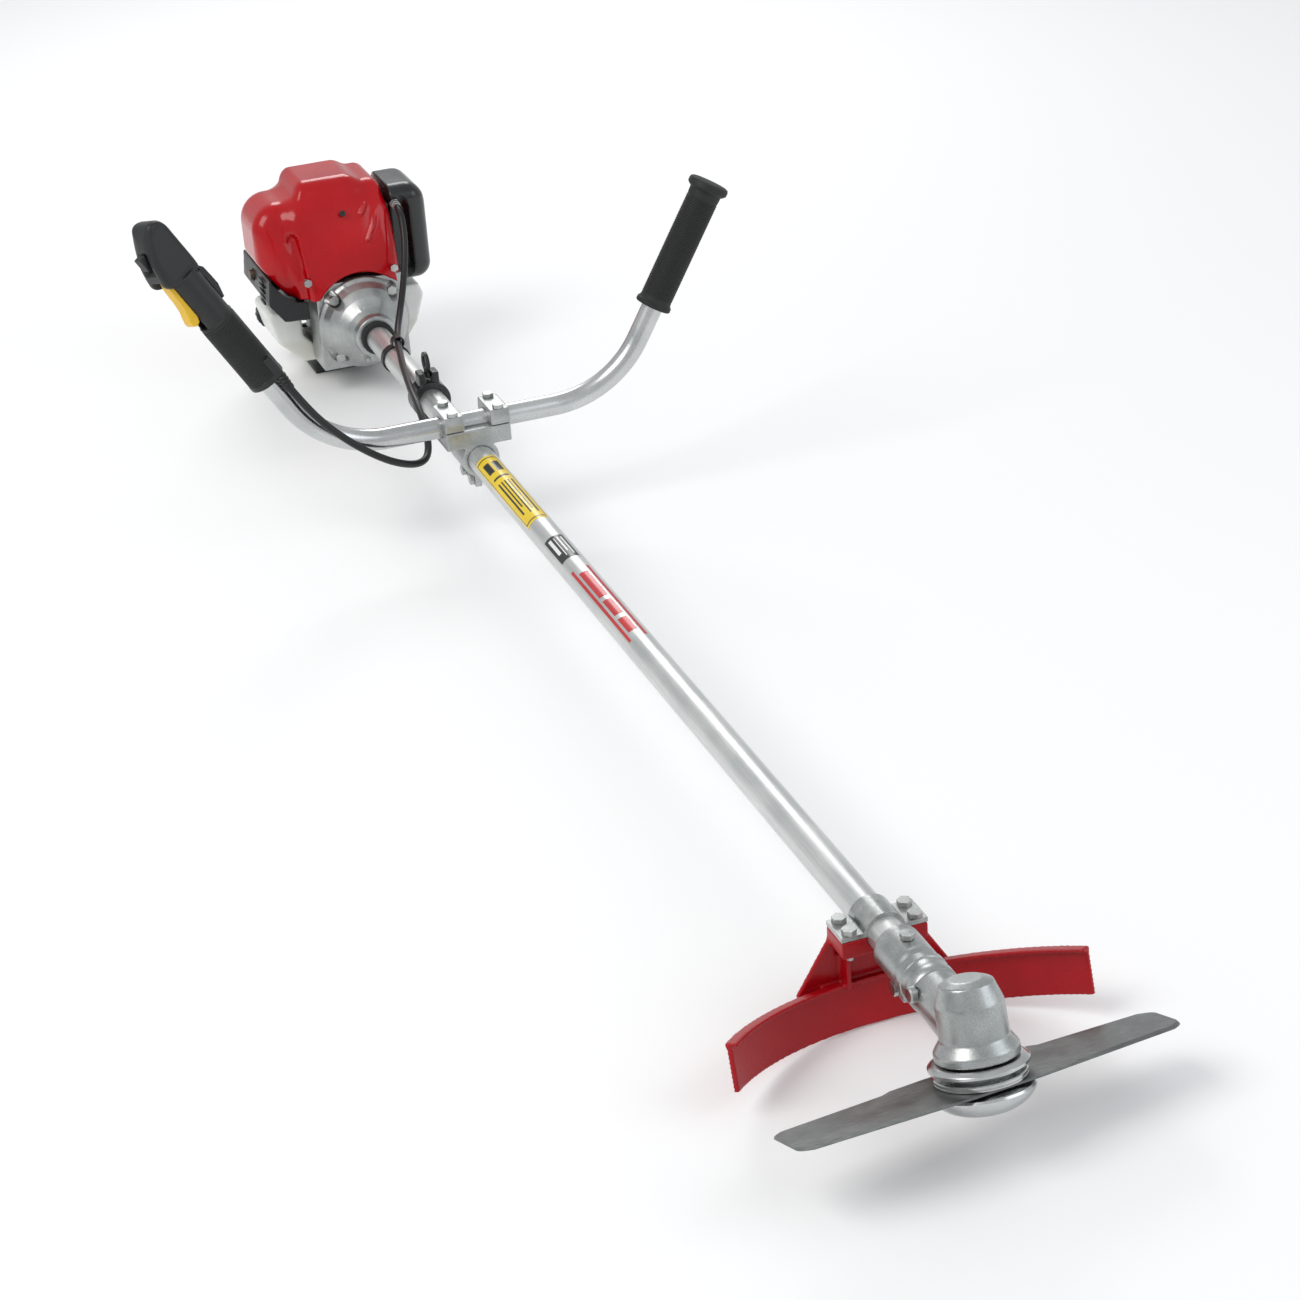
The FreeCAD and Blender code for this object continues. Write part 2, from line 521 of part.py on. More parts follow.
sole = span("stand_sole", (-75, -45, 0), (25, 39, 4))
webs = [span("stand_web_0", (-75, -45, 3), (-71, 39, 28)), span("stand_web_1", (21, -30, 3), (25, 30, 28)),
        span("stand_top", (-75, -30, 25), (56, 30, 28.3)),
        span("stand_rib_0", (-74, -30, 3), (25, -26, 28)), span("stand_rib_1", (-74, 26, 3), (25, 30, 28))]
join("engine_stand", [sole] + webs)

# ---------------------------------------------------------------- recoil starter
recoil = turned("recoil_shell", [(52, -17), (52, -44), (44, -54), (0, -54), (0, -51.5),
                                 (43, -51.5), (49.5, -43), (49.5, -20), (40, -20), (40, -17)],
                tube_at(-3.5), ALONG_X)
rope_way = rod("rope_way", 2.6, 40, ("pulley_x + 0.5", "-pulley_r", "tube_z + 40"))
rope_ferrule = rod("rope_ferrule", 5, 20, ("pulley_x + 0.5", "-pulley_r", "tube_z + 42"))
recoil_stub = rod("recoil_stub", 5, 14, tube_at(-56), ALONG_X)
cut("recoil_case", join("recoil_solid", [recoil, rope_ferrule, recoil_stub]),
    [rope_way, rod("back_journal_room", 8.2, 20, tube_at(-41), ALONG_X)])
turned("recoil_pulley", [(5.05, -4), (28, -4), (28, -2.6), ("pulley_r - rope_r", -1.9),
                         ("pulley_r - rope_r", 2.9), (28, 3.6), (28, 5), (5.05, 5)],
       ("pulley_x", 0, "tube_z"), ALONG_X)
turned("starter_grip", [(2.2, 0), (6, 0), (7.5, 4), (6.5, 9), (11, 12), (12, 16), (9, 20), (2.2, 20)],
       ("pulley_x + 0.5", "-pulley_r", "tube_z + 63"))
rod("starter_rope", "rope_r", 83, ("pulley_x + 0.5", "-pulley_r", "tube_z"))

# ---------------------------------------------------------------- throttle cable
# From the throttle grip over the horn, in a hanging loop under the bar, up beside the tube to
# the band, then over to the carburettor.
CABLE_ROUTE = [
    (546.2, -191, 208.1), (546.2, -176.8, 184), (551, -158, 156), (554, -134, 131), (553, -109, 110),
    (547, -86, 94), (537, -63, 83), (521, -47, 80), (503, -39, 87), (482, -36, 101), (452, -33, 110),
    (412, -29, 113), (366, -21, 110), (318, -12, 105.5), (278, -3.5, 103.2), ("band_x", 4, 102.6),
    (207, 14, 106), (176, 28, 119), (150, 41, 139), (130, 51, 164), (115, 56, 187), (98, 58, 205), (74, 58, 205)]


def rounded_path(route):
    """Straight runs joined by tangent arcs, each as large as its two runs allow."""
    spots = [Vector(*[number(part) for part in spot]) for spot in route]
    edges = []
    start = spots[0]
    for before, here, after in zip(spots, spots[1:], spots[2:]):
        back = (before - here).normalize()
        ahead = (after - here).normalize()
        half_turn = (math.pi - back.getAngle(ahead)) / 2
        reach = 0.45 * min((before - here).Length, (after - here).Length)
        radius = reach / math.tan(half_turn)
        enter = here + back * reach
        leave = here + ahead * reach
        inward = (back + ahead).normalize()
        centre = here + inward * math.hypot(reach, radius)
        edges.append(Part.LineSegment(start, enter).toShape())
        edges.append(Part.Arc(enter, centre - inward * radius, leave).toShape())
        print(f"bend at {here.x:.0f},{here.y:.0f},{here.z:.0f}: {math.degrees(2 * half_turn):.0f} degrees,"
              f" radius {radius:.0f}")
        start = leave
    edges.append(Part.LineSegment(start, spots[-1]).toShape())
    return Part.Wire(edges)


def tube_along(path, radius):
    """A round solid swept along a path of runs and arcs."""
    start = path.Edges[0].valueAt(path.Edges[0].FirstParameter)
    way = path.Edges[0].tangentAt(path.Edges[0].FirstParameter)
    ring = Part.Wire(Part.makeCircle(radius, start, way))
    solid = path.makePipeShell([ring], True, False, 2)
    print(f"swept length {path.Length:.0f}, volume against section times length:"
          f" {solid.Volume / (math.pi * radius ** 2 * path.Length):.4f}")
    return solid


shaped("throttle_cable", tube_along(rounded_path(CABLE_ROUTE), number("cable_od / 2")))

band_strap = cut("band_strap", rod("band_outer", "tube_od / 2 + 2", 9, tube_at("band_x - 4.5"), ALONG_X),
                 [rod("band_inner", "tube_od / 2 + fit_gap", 11, tube_at("band_x - 5.5"), ALONG_X)])
band_loop = rod("band_loop", "cable_od / 2 + 3.5", 9, ("band_x - 4.5", 4, 102.6), ALONG_X)
cable_room = rod("cable_room", "cable_od / 2 + 1.9", 13, ("band_x - 6.5", 4, 102.6), ALONG_X)
tube_clear = rod("band_tube_room", "tube_od / 2 + fit_gap", 13, tube_at("band_x - 6.5"), ALONG_X)
cut("cable_band", join("band_solid", [band_strap, band_loop]), [cable_room, tube_clear])

# ---------------------------------------------------------------- harness eye
eye_ring = rod("eye_ring", "tube_od / 2 + 7", 22, tube_at("hanger_x - 11"), ALONG_X)
eye_ears = span("eye_ears", ("hanger_x - 8", -11, "tube_z + 16"), ("hanger_x + 8", 11, "tube_z + 31"))
eye_foot = span("eye_foot", ("hanger_x - 9", -7, "tube_z - 36"), ("hanger_x + 9", 7, "tube_z - 18"))
eye_body = cut("eye_body", join("eye_solid", [eye_ring, eye_ears, eye_foot]),
    [rod("eye_bore", "tube_od / 2 + fit_gap", 26, tube_at("hanger_x - 13"), ALONG_X),
     span("eye_slot", ("hanger_x - 12", -3.5, "tube_z + 21.5"), ("hanger_x + 12", 3.5, "tube_z + 32")),
     span("eye_slit", ("hanger_x - 12", -1, "tube_z - 40"), ("hanger_x + 12", 1, "tube_z - 12"))])
eye_pin = rod("eye_pin", 2.5, 22, ("hanger_x", -11, "tube_z + 27"), ALONG_Y)
eye_plate = rod("eye_plate", 11, 4, ("hanger_x", -2, "tube_z + 41"), ALONG_Y)
eye_neck = span("eye_neck", ("hanger_x - 5", -2, "tube_z + 24"), ("hanger_x + 5", 2, "tube_z + 38"))
eye_hole = rod("eye_hole", 6, 10, ("hanger_x", -5, "tube_z + 42"), ALONG_Y)
pin_hole = rod("eye_pin_hole", 2.55, 10, ("hanger_x", -5, "tube_z + 27"), ALONG_Y)
cut("hanger_ring", join("ring_solid", [eye_plate, eye_neck]), [eye_hole, pin_hole])
join("hanger_clamp", [eye_body, eye_pin])

# ---------------------------------------------------------------- handlebar and its clamp
def horn_path(side, past):
    """Centre line of half of the handlebar: middle, bend and horn, out to a length past the bend."""
    turn = math.radians(number("bar_turn"))
    bend = number("bar_bend")
    flat = number("bar_flat")
    base = Vector(number("bar_x"), 0, number("bar_z"))
    corner = base + Vector(0, side * flat, 0)
    middle = base + Vector(0, side * (flat + bend * math.sin(turn / 2)), bend * (1 - math.cos(turn / 2)))
    top = base + Vector(0, side * (flat + bend * math.sin(turn)), bend * (1 - math.cos(turn)))
    tip = top + Vector(0, side * math.cos(turn), math.sin(turn)) * past
    return [Part.LineSegment(base, corner).toShape(), Part.Arc(corner, middle, top).toShape(),
            Part.LineSegment(top, tip).toShape()]


def horn_place(side, past):
    """Placement on a horn with local +Z up the horn and local +X forward."""
    turn = math.radians(number("bar_turn"))
    y = number("bar_flat") + number("bar_bend") * math.sin(turn) + past * math.cos(turn)
    z = number("bar_z") + number("bar_bend") * (1 - math.cos(turn)) + past * math.sin(turn)
    lean = Rotation(Vector(1, 0, 0), -side * (90 - number("bar_turn")))
    return Placement(Vector(number("bar_x"), side * y, z), lean)


def bar_solid(radius):
    halves = []
    for side, past in ((1, number("horn_bare + grip_length - 6")), (-1, number("horn_bare + 80"))):
        path = Part.Wire(horn_path(side, past))
        ring = Part.Wire(Part.makeCircle(radius, path.Edges[0].valueAt(0), Vector(0, side, 0)))
        halves.append(path.makePipeShell([ring], True, False, 2))
    return halves[0].fuse(halves[1]).removeSplitter()


shaped("handlebar", bar_solid(number("bar_od / 2")).cut(bar_solid(number("bar_od / 2 - bar_wall"))))

GRIP_SEAT = horn_place(1, number("horn_bare"))
grip = turned("plain_grip", [("bar_od / 2 + fit_gap", 0), ("grip_r + 2", 0), ("grip_r + 2", 5),
                             ("grip_r", 8), ("grip_r", "grip_length - 12"),
                             ("grip_r + 4.5", "grip_length - 8"), ("grip_r + 4.5", "grip_length - 2"),
                             ("grip_r + 3", "grip_length"), (0, "grip_length"),
                             (0, "grip_length - 5"), ("bar_od / 2 + fit_gap", "grip_length - 5")],
              (0, 0, 0))
grip.Placement = GRIP_SEAT

bracket_ring = rod("bracket_ring", "tube_od / 2 + 5.5", 46, tube_at("bar_x - 23"), ALONG_X)
bracket_seat = span("bracket_seat", ("bar_x - 23", -34, 98), ("bar_x + 23", 34, "bar_z - 0.4"))
bracket_tab = span("bracket_tab", ("bar_x - 22", -8, "tube_z - 30"), ("bar_x + 22", 8, "tube_z - 16"))
stud_holes = []
bar_studs = []
for count, (across, along) in enumerate(((-24, -16.5), (-24, 16.5), (24, -16.5), (24, 16.5))):
    stud_holes.append(rod(f"stud_hole_{count}", 3.1, 40, (f"bar_x + {along}", across, 100)))
    bar_studs.append(hex_bolt(f"bar_stud_{count}", 3, 30, (f"bar_x + {along}", across, "bar_z + 16.2"),
                              Rotation(Vector(1, 0, 0), 180)))
bar_room = rod("bar_room", "bar_od / 2 + fit_gap", 100, ("bar_x", -50, "bar_z"), ALONG_Y)
tab_holes = []
for count, along in enumerate((-14, 14)):
    tab_holes.append(rod(f"tab_hole_{count}", 3.1, 24, (f"bar_x + {along}", -12, "tube_z - 23.5"), ALONG_Y))
    bar_studs.append(hex_bolt(f"tab_bolt_{count}", 3, 20,
                              (f"bar_x + {along}", -8.2, "tube_z - 23.5"), ALONG_Y))
cut("bar_bracket", join("bracket_solid", [bracket_ring, bracket_seat, bracket_tab]),
    [bar_room, rod("bracket_bore", "tube_od / 2 + fit_gap", 60, tube_at("bar_x - 30"), ALONG_X),
     span("bracket_slit", ("bar_x - 30", -1, "tube_z - 40"), ("bar_x + 30", 1, "tube_z - 12"))]
    + stud_holes + tab_holes)
caps = []
for side in (-1, 1):
    lid = padded(f"bar_cap_{side + 1}", "XZ_Plane",
                 [(-23, 0.4), (23, 0.4), (23, 8), (21, 16), (-21, 16), (-23, 8)], 20,
                 ("bar_x", 24 * side, "bar_z"), both_ways=True)
    caps.append(cut(f"bar_cap_bored_{side + 1}", lid, [bar_room] + stud_holes))
group("bar_caps", caps)
group("bar_bolts", bar_studs)

# ---------------------------------------------------------------- throttle grip
# Built about its own axis: local +Z up the horn, local +X the way the trigger faces.
GRIP_FACE = 62
THROTTLE_SEAT = horn_place(-1, number("horn_bare")).multiply(
    Placement(Vector(0, 0, 0), Rotation(Vector(0, 0, 1), -GRIP_FACE)))


def on_grip(piece):
    """Move a piece, modelled about the grip's own axis, to the throttle side's horn."""
    piece.Placement = THROTTLE_SEAT.multiply(piece.Placement)
    return piece


handle = [rod("handle_tube", "grip_r + 1", 148, (0, 0, 2)),
          rod("handle_foot", "grip_r + 2.5", 6, (0, 0, 0)),
          span("handle_head", (-19, -16, 142), (19, 16, 201))]
cable_spot = THROTTLE_SEAT.inverse().multVec(Vector(*CABLE_ROUTE[0]))
cable_boss = rod("cable_boss", "cable_od / 2 + 2", 24, (cable_spot.x, cable_spot.y, cable_spot.z + 0.05))
whole_handle = join("handle_solid", handle + [cable_boss])
handle_cut = cut("handle_hollowed", whole_handle,
                 [rod("handle_bore", "bar_od / 2 + fit_gap", 82, (0, 0, -1)),
                  span("trigger_slot", (-8, -5.6, 84), (30, 5.6, 150)),
                  span("lock_slot", (-32, -4.6, 84), (-12, 4.6, 140)),
                  span("switch_slot", (16, -6, 166), (26, 6, 190))])
trigger_pin = rod("trigger_pin", 2, 28, (6, -14, 143), ALONG_Y)
lock_pin = rod("lock_pin", 1.5, 28, (-15, -14, 133), ALONG_Y)
on_grip(join("throttle_housing", [handle_cut, trigger_pin, lock_pin]))
trigger = padded("trigger_plate", "XZ_Plane",
                 [(2, 147), (12, 147), (22, 138), (28, 125), (27, 106), (21, 89), (17, 88), (15, 104),
                  (10, 122), (2, 134)], 9, (0, 0, 0), both_ways=True)
on_grip(cut("throttle_trigger", trigger, [rod("trigger_hole", 2.06, 20, (6, -10, 143), ALONG_Y)]))
lock = padded("lock_plate", "XZ_Plane",
              [(-12.8, 136), (-18, 137), (-24, 128), (-25, 106), (-21, 92), (-18, 92), (-18, 120),
               (-13, 130)], 8, (0, 0, 0), both_ways=True)
on_grip(cut("trigger_lock", lock, [rod("lock_hole", 1.56, 20, (-15, -10, 133), ALONG_Y)]))
on_grip(span("stop_switch", (16.5, -5, 167), (24, 5, 181)))

# ---------------------------------------------------------------- guard
def head_turn(shape):
    """Move a shape, modelled about the blade's axis, to its place on the head."""
    seat = Placement(Vector(*[number(part) for part in head_at("0")]), HEAD)
    shape.Placement = seat.multiply(shape.Placement)
    return shape


guard_low = (number("tube_z") - number("guard_r * sin(head_tilt)"))
guard_low = guard_low / math.cos(math.radians(number("head_tilt")))
wall_high = number("guard_rise") + guard_low
ring_wall = Part.makeCylinder(number("guard_r"), wall_high, Vector(0, 0, -guard_low), Vector(0, 0, 1),
                              2 * number("guard_sweep"))
ring_void = Part.makeCylinder(number("guard_r - guard_wall"), wall_high + 2, Vector(0, 0, -guard_low - 1))
lip = Part.makeCylinder(number("guard_r + 1"), 3, Vector(0, 0, number("guard_rise") - 3), Vector(0, 0, 1),
                        2 * number("guard_sweep"))
lip_void = Part.makeCylinder(number("guard_r") - 9, 5, Vector(0, 0, number("guard_rise") - 4))
wall = ring_wall.cut(ring_void).fuse(lip.cut(lip_void))
wall.rotate(Vector(0, 0, 0), Vector(0, 0, 1), 180 - number("guard_sweep"))
wall = shaped("guard_wall_part", wall)
head_turn(wall)
back_face = padded("guard_back", "YZ_Plane", [(-31, 80), (31, 80), (62, 30), (-62, 30)], 4, (1507, 0, 0))
guard_seat = span("guard_seat", ("clamp_x - 15", -34, 70), ("clamp_x + 15", 34, 83.8))
gussets = [span(f"guard_gusset_{n}", (1490, y, 34), (1522, y + 4, 74)) for n, y in enumerate((-26, 22))]
screw_spots = [(along, across) for along in (-9, 9) for across in (-26, 26)]
screw_holes = [rod(f"guard_screw_hole_{n}", 3.1, 40, (f"clamp_x + {along}", across, 60))
               for n, (along, across) in enumerate(screw_spots)]
tube_way = rod("guard_tube_room", "tube_od / 2 + fit_gap", 60, tube_at("clamp_x - 30"), ALONG_X)
cut("guard", join("guard_solid", [wall, back_face, guard_seat] + gussets), [tube_way] + screw_holes)
strap_ring = rod("strap_ring", "tube_od / 2 + 3", 28, tube_at("clamp_x - 14"), ALONG_X)
strap_ears = span("strap_ears", ("clamp_x - 14", -34, "tube_z"), ("clamp_x + 14", 34, "tube_z + 4"))
below = span("strap_below", ("clamp_x - 20", -40, 50), ("clamp_x + 20", 40, "tube_z + 0.2"))
cut("guard_bracket", join("strap_solid", [strap_ring, strap_ears]), [tube_way, below] + screw_holes)
group("guard_screws", [hex_bolt(f"guard_screw_{n}", 3, 22, (f"clamp_x + {along}", across, "tube_z + 4.2"),
                                Rotation(Vector(1, 0, 0), 180))
                       for n, (along, across) in enumerate(screw_spots)])

# ---------------------------------------------------------------- gear case
neck = turned("gear_neck", [(0, 0), (18.5, 0), (18.5, 34), (17.5, 38), (18, 60), (19, 108), (0, 122)],
              tube_at("head_x - 126"), ALONG_X)
boss = turned("gear_boss", [(0, -12), (30, -12), (30, -6), (24.5, 2), (24, 26), (19, 40), (12, 43), (0, 43)],
              head_at("0"), HEAD)
neck_lug = span("neck_lug", ("head_x - 118", -9, 56), ("head_x - 96", 9, 74))
SIDEWAYS = Rotation(Vector(1, 0, 0), 90)
gear_room = [rod("grease_spot", 6.3, 10, ("head_x - 58", -17.4, "tube_z + 6"), SIDEWAYS),
             rod("grease_hole", 3.1, 8, ("head_x - 58", -13.5, "tube_z + 6"), SIDEWAYS),
             rod("gear_tube_room", "tube_od / 2 + fit_gap", "tube_front - head_x + 127",
                 tube_at("head_x - 127"), ALONG_X),
             rod("gear_bearing_room", 14, 44, tube_at("head_x - 80.5"), ALONG_X),
             rod("gear_mesh_room", 14, 40, tube_at("head_x - 38"), ALONG_X),
             rod("gear_wheel_room", 19.5, 32, head_at("-7.8"), HEAD),
             rod("gear_top_seat", 9.5, 15, head_at("23"), HEAD),
             rod("gear_low_seat", 14, 12, head_at("-14"), HEAD),
             span("neck_slit", ("head_x - 127", -1, 50), ("head_x - 92", 1, 72)),
             rod("neck_hole", 3.1, 24, ("head_x - 107", -12, 63), ALONG_Y)]
cut("gear_case", join("gear_solid", [neck, boss, neck_lug]), gear_room)
grease = turned("grease_plug", [(0, 0), (3, 0), (3, 3), (6, 3), (6, 7), (5, 8), (0, 8)],
                ("head_x - 58", -14.5, "tube_z + 6"), SIDEWAYS)
group("gear_case_screws", [hex_bolt("neck_screw", 3, 22, ("head_x - 107", -9.2, 63), ALONG_Y),
                           hex_bolt("top_screw", 3, 0.1, ("head_x - 107", 0, "tube_z + 18.9"),
                                    Rotation(Vector(1, 0, 0), 180)), grease])
group("pinion_bearings", [ball_bearing("pinion_bearing_0", 4.05, 13.95, tube_at("head_x - 62"), ALONG_X),
                          ball_bearing("pinion_bearing_1", 4.05, 13.95, tube_at("head_x - 50"), ALONG_X)])


def bevel(teeth, cone_half, outer, phase):
    """Straight bevel gear with its apex at the origin and its back towards +Z."""
    pitch_r = outer * math.sin(cone_half)
    module = 2 * pitch_r / teeth
    inner_share = 0.62
    add = 0.75 * module
    ded = 0.95 * module

    def station(share, lift):
        """Radius and height of a point above the pitch cone by the lift, at a share of its length."""
        along = outer * share
        return (along * math.sin(cone_half) + share * lift * math.cos(cone_half),
                along * math.cos(cone_half) - share * lift * math.sin(cone_half))

    root_out = station(1, -ded)
    root_in = station(inner_share, -ded)
    profile = [Vector(0, 0, root_in[1]), Vector(root_in[0], 0, root_in[1]),
               Vector(root_out[0], 0, root_out[1]), Vector(root_out[0], 0, root_out[1] + 2.5), Vector(0, 0, root_out[1] + 2.5)]
    blank = Part.Face(Part.makePolygon(profile + profile[:1])).revolve(Vector(), Vector(0, 0, 1), 360)
    solid = blank
    for count in range(teeth):
        middle = phase + 2 * math.pi * count / teeth
        rings = []
        for share in (inner_share, 1.0):
            ring = []
            for lift, half_width in ((-ded - 0.15 * module, 0.50), (add, 0.20)):
                radius, height = station(share, lift)
                half_angle = half_width * module / pitch_r
                ring.append((radius, height, half_angle))
            (r0, z0, a0), (r1, z1, a1) = ring
            corners = [(r0, z0, -a0), (r1, z1, -a1), (r1, z1, a1), (r0, z0, a0)]
            spots = [Vector(r * math.cos(middle + a), r * math.sin(middle + a), z) for r, z, a in corners]
            rings.append(Part.makePolygon(spots + spots[:1]))
        solid = solid.fuse(Part.makeLoft(rings, True, True))
    return solid.removeSplitter()


shaft_angle = math.radians(90 - number("head_tilt"))
ratio = number("gear_teeth") / number("pinion_teeth")
pinion_cone = math.atan(math.sin(shaft_angle) / (ratio + math.cos(shaft_angle)))
wheel_cone = shaft_angle - pinion_cone
pinion = bevel(int(number("pinion_teeth")), pinion_cone, number("cone_distance"), 0)
pinion.rotate(Vector(), Vector(0, 1, 0), -90)
pinion.translate(Vector(number("head_x"), 0, number("tube_z")))
pinion = shaped("pinion_cone_part", pinion)
pinion_stem = rod("pinion_stem", 4, 26, tube_at("head_x - 46"), ALONG_X)
join("pinion_gear", [pinion, pinion_stem])
wheel = bevel(int(number("gear_teeth")), wheel_cone, number("cone_distance"),
              math.pi / number("gear_teeth") + math.pi)
wheel = head_turn(shaped("wheel_cone_part", wheel))
join("bevel_gear", [wheel, rod("output_shaft", 6, 76, head_at("-40"), HEAD)])
group("output_bearings", [turned("top_bearing", [(6.05, 0), (9.45, 0), (9.45, 8), (6.05, 8)],
                                 head_at("25"), HEAD),
                          turned("low_bearing", [(6.05, 0), (13.95, 0), (13.95, 4), (6.05, 4)],
                                 head_at("-11.8"), HEAD)])

# ---------------------------------------------------------------- blade and its holder
turned("blade_holder", [(6.05, -13.5), (32, -13.5), (35.5, -15.5), (35.5, -18.5), (25, -20), (25, -22),
                        (33, -23.5), (33, -27.9), ("blade_bore / 2 - fit_gap", -27.9),
                        ("blade_bore / 2 - fit_gap", -29.6), (6.05, -29.6)], head_at("0"), HEAD)
tip = "blade_dia / 2"
blade_plate = padded("blade_plate", "XY_Plane",
                     [(-30, -30), (-30, 30), (-24, "blade_dia / 2 - 8"), (-17, "blade_dia / 2"),
                      (17, "blade_dia / 2"), (24, "blade_dia / 2 - 8"), (30, 30), (30, -30),
                      (24, "8 - blade_dia / 2"), (17, "-blade_dia / 2"), (-17, "-blade_dia / 2"),
                      (-24, "8 - blade_dia / 2")], "blade_thick",
                     head_at("-blade_drop - blade_thick"),
                     HEAD.multiply(Rotation(Vector(0, 0, 1), number("blade_turn"))))
cut("blade", blade_plate, [rod("blade_hole", "blade_bore / 2", 20, head_at("-40"), HEAD)])
turned("stabiliser_bowl", [(6.05, -30.2), (17, -30.2), (35, -32), (37, -33), (37.5, -35), (33, -42),
                           (26, -47), (20, -49), (13, -49), (13, -47), (19, -47), (24.7, -45.2), (31.2, -40.8),
                           (35, -35), (34, -34), (17, -32.4), (6.05, -32.4)], head_at("0"), HEAD)
nut = doc.addObject("Part::Prism", "nut_hex")
nut.Polygon = 6
bind(nut, "Circumradius", 10.5)
bind(nut, "Height", 9)
place(nut, head_at("-41.6"), HEAD)
cut("blade_nut", join("nut_sum", [nut, rod("nut_flange", 11.5, 2, head_at("-34.6"), HEAD)]),
    [rod("nut_hole", 6.05, 20, head_at("-45"), HEAD)])

# ---------------------------------------------------------------- check and write
NODES = """shaft_tube shaft_bushes drive_shaft clutch_drum drum_bearings clutch_case clutch_case_bolts
clutch_shoes flywheel crankshaft connecting_rod piston engine_block spark_plug ignition_coil muffler
fan_housing lower_shroud top_cover cover_screws carburettor throttle_valve choke_lever primer_bulb
air_filter air_cleaner_cover fuel_tank fuel_cap oil_cap engine_stand recoil_case recoil_pulley
starter_grip starter_rope cable_band throttle_cable hanger_clamp hanger_ring bar_bracket bar_caps
bar_bolts handlebar plain_grip throttle_housing throttle_trigger trigger_lock stop_switch guard
guard_bracket guard_screws gear_case gear_case_screws pinion_gear pinion_bearings bevel_gear
output_bearings blade_holder blade stabiliser_bowl blade_nut""".split()

doc.recompute()
for item in doc.Objects:
    if {"Invalid", "Error"} & set(item.State):
        raise SystemExit(f"{item.Name} failed: {item.State}")
os.makedirs("parts", exist_ok=True)
for node in NODES:
    piece = next(item for item in doc.Objects if item.Label == node)
    if piece.Shape.isNull() or not piece.Shape.isValid() or piece.Shape.Volume <= 0:
        raise SystemExit(f"{node} has no valid shape")
    piece.Shape.exportStep(f"parts/{node}.step")
print(len(NODES), "nodes written")
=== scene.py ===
"""Petrol brush cutter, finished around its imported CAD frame, in the order it is put together."""
from math import cos, pi, radians, sin

import bmesh
import bpy
import numpy as np
from mathutils import Matrix, Quaternion, Vector


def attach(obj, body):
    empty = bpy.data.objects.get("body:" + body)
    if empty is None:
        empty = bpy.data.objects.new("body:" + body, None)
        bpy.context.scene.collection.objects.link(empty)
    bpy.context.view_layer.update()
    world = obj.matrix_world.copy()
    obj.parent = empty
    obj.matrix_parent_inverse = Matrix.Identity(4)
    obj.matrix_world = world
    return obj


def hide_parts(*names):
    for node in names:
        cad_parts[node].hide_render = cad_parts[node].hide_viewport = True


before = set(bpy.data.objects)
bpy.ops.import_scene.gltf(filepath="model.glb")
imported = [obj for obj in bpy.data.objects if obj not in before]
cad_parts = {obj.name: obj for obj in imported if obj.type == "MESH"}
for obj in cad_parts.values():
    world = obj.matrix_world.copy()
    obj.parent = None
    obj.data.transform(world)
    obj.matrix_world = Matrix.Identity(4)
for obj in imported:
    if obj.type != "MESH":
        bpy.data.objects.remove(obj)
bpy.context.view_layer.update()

MM = 0.001

# ---------------------------------------------------------------- studio
# A pale seamless floor, one large softbox over the engine's side, a weaker one from the other side
# and a strip behind. The camera stands in front of the blade's end, at about a person's chest height.


def linear(code):
    """An sRGB hex colour as linear red, green, blue and alpha."""
    parts = [int(code[i:i + 2], 16) / 255 for i in (1, 3, 5)]
    return [c / 12.92 if c <= 0.04045 else ((c + 0.055) / 1.055) ** 2.4 for c in parts] + [1.0]


def add(tree, kind, inputs=None, **settings):
    """Adds one node: settings are its own properties, inputs are socket values or links."""
    node = tree.nodes.new(kind)
    for name, value in settings.items():
        setattr(node, name, value)
    for socket, value in (inputs or {}).items():
        if isinstance(value, bpy.types.NodeSocket):
            tree.links.new(value, node.inputs[socket])
        else:
            node.inputs[socket].default_value = value
    return node


def blank(name):
    """A new node material with one shader, and its tree."""
    material = bpy.data.materials.new(name)
    material.use_nodes = True
    tree = material.node_tree
    tree.nodes.clear()
    shader = add(tree, "ShaderNodeBsdfPrincipled")
    add(tree, "ShaderNodeOutputMaterial", {"Surface": shader.outputs["BSDF"]})
    return material, tree, shader


EYE = Vector((3.1409, -0.6993, 1.2132))
LOOK = Vector((-0.84547, 0.28249, -0.45319))
LEAN = radians(-4.17)
LENS = 79.5
camera = bpy.data.objects.new("camera", bpy.data.cameras.new("camera"))
bpy.context.scene.collection.objects.link(camera)
camera.location = EYE
camera.rotation_mode = "QUATERNION"
camera.rotation_quaternion = LOOK.to_track_quat("-Z", "Y") @ Quaternion((0, 0, 1), LEAN)
camera.data.lens = LENS
camera.data.sensor_width = 36
camera.data.clip_end = 60
bpy.context.scene.camera = camera

world = bpy.data.worlds.new("pale_room")
world.use_nodes = True
world.node_tree.nodes["Background"].inputs["Color"].default_value = linear("#F4F6F8")
world.node_tree.nodes["Background"].inputs["Strength"].default_value = 0.68
bpy.context.scene.world = world
bpy.context.scene.view_settings.view_transform = "Standard"

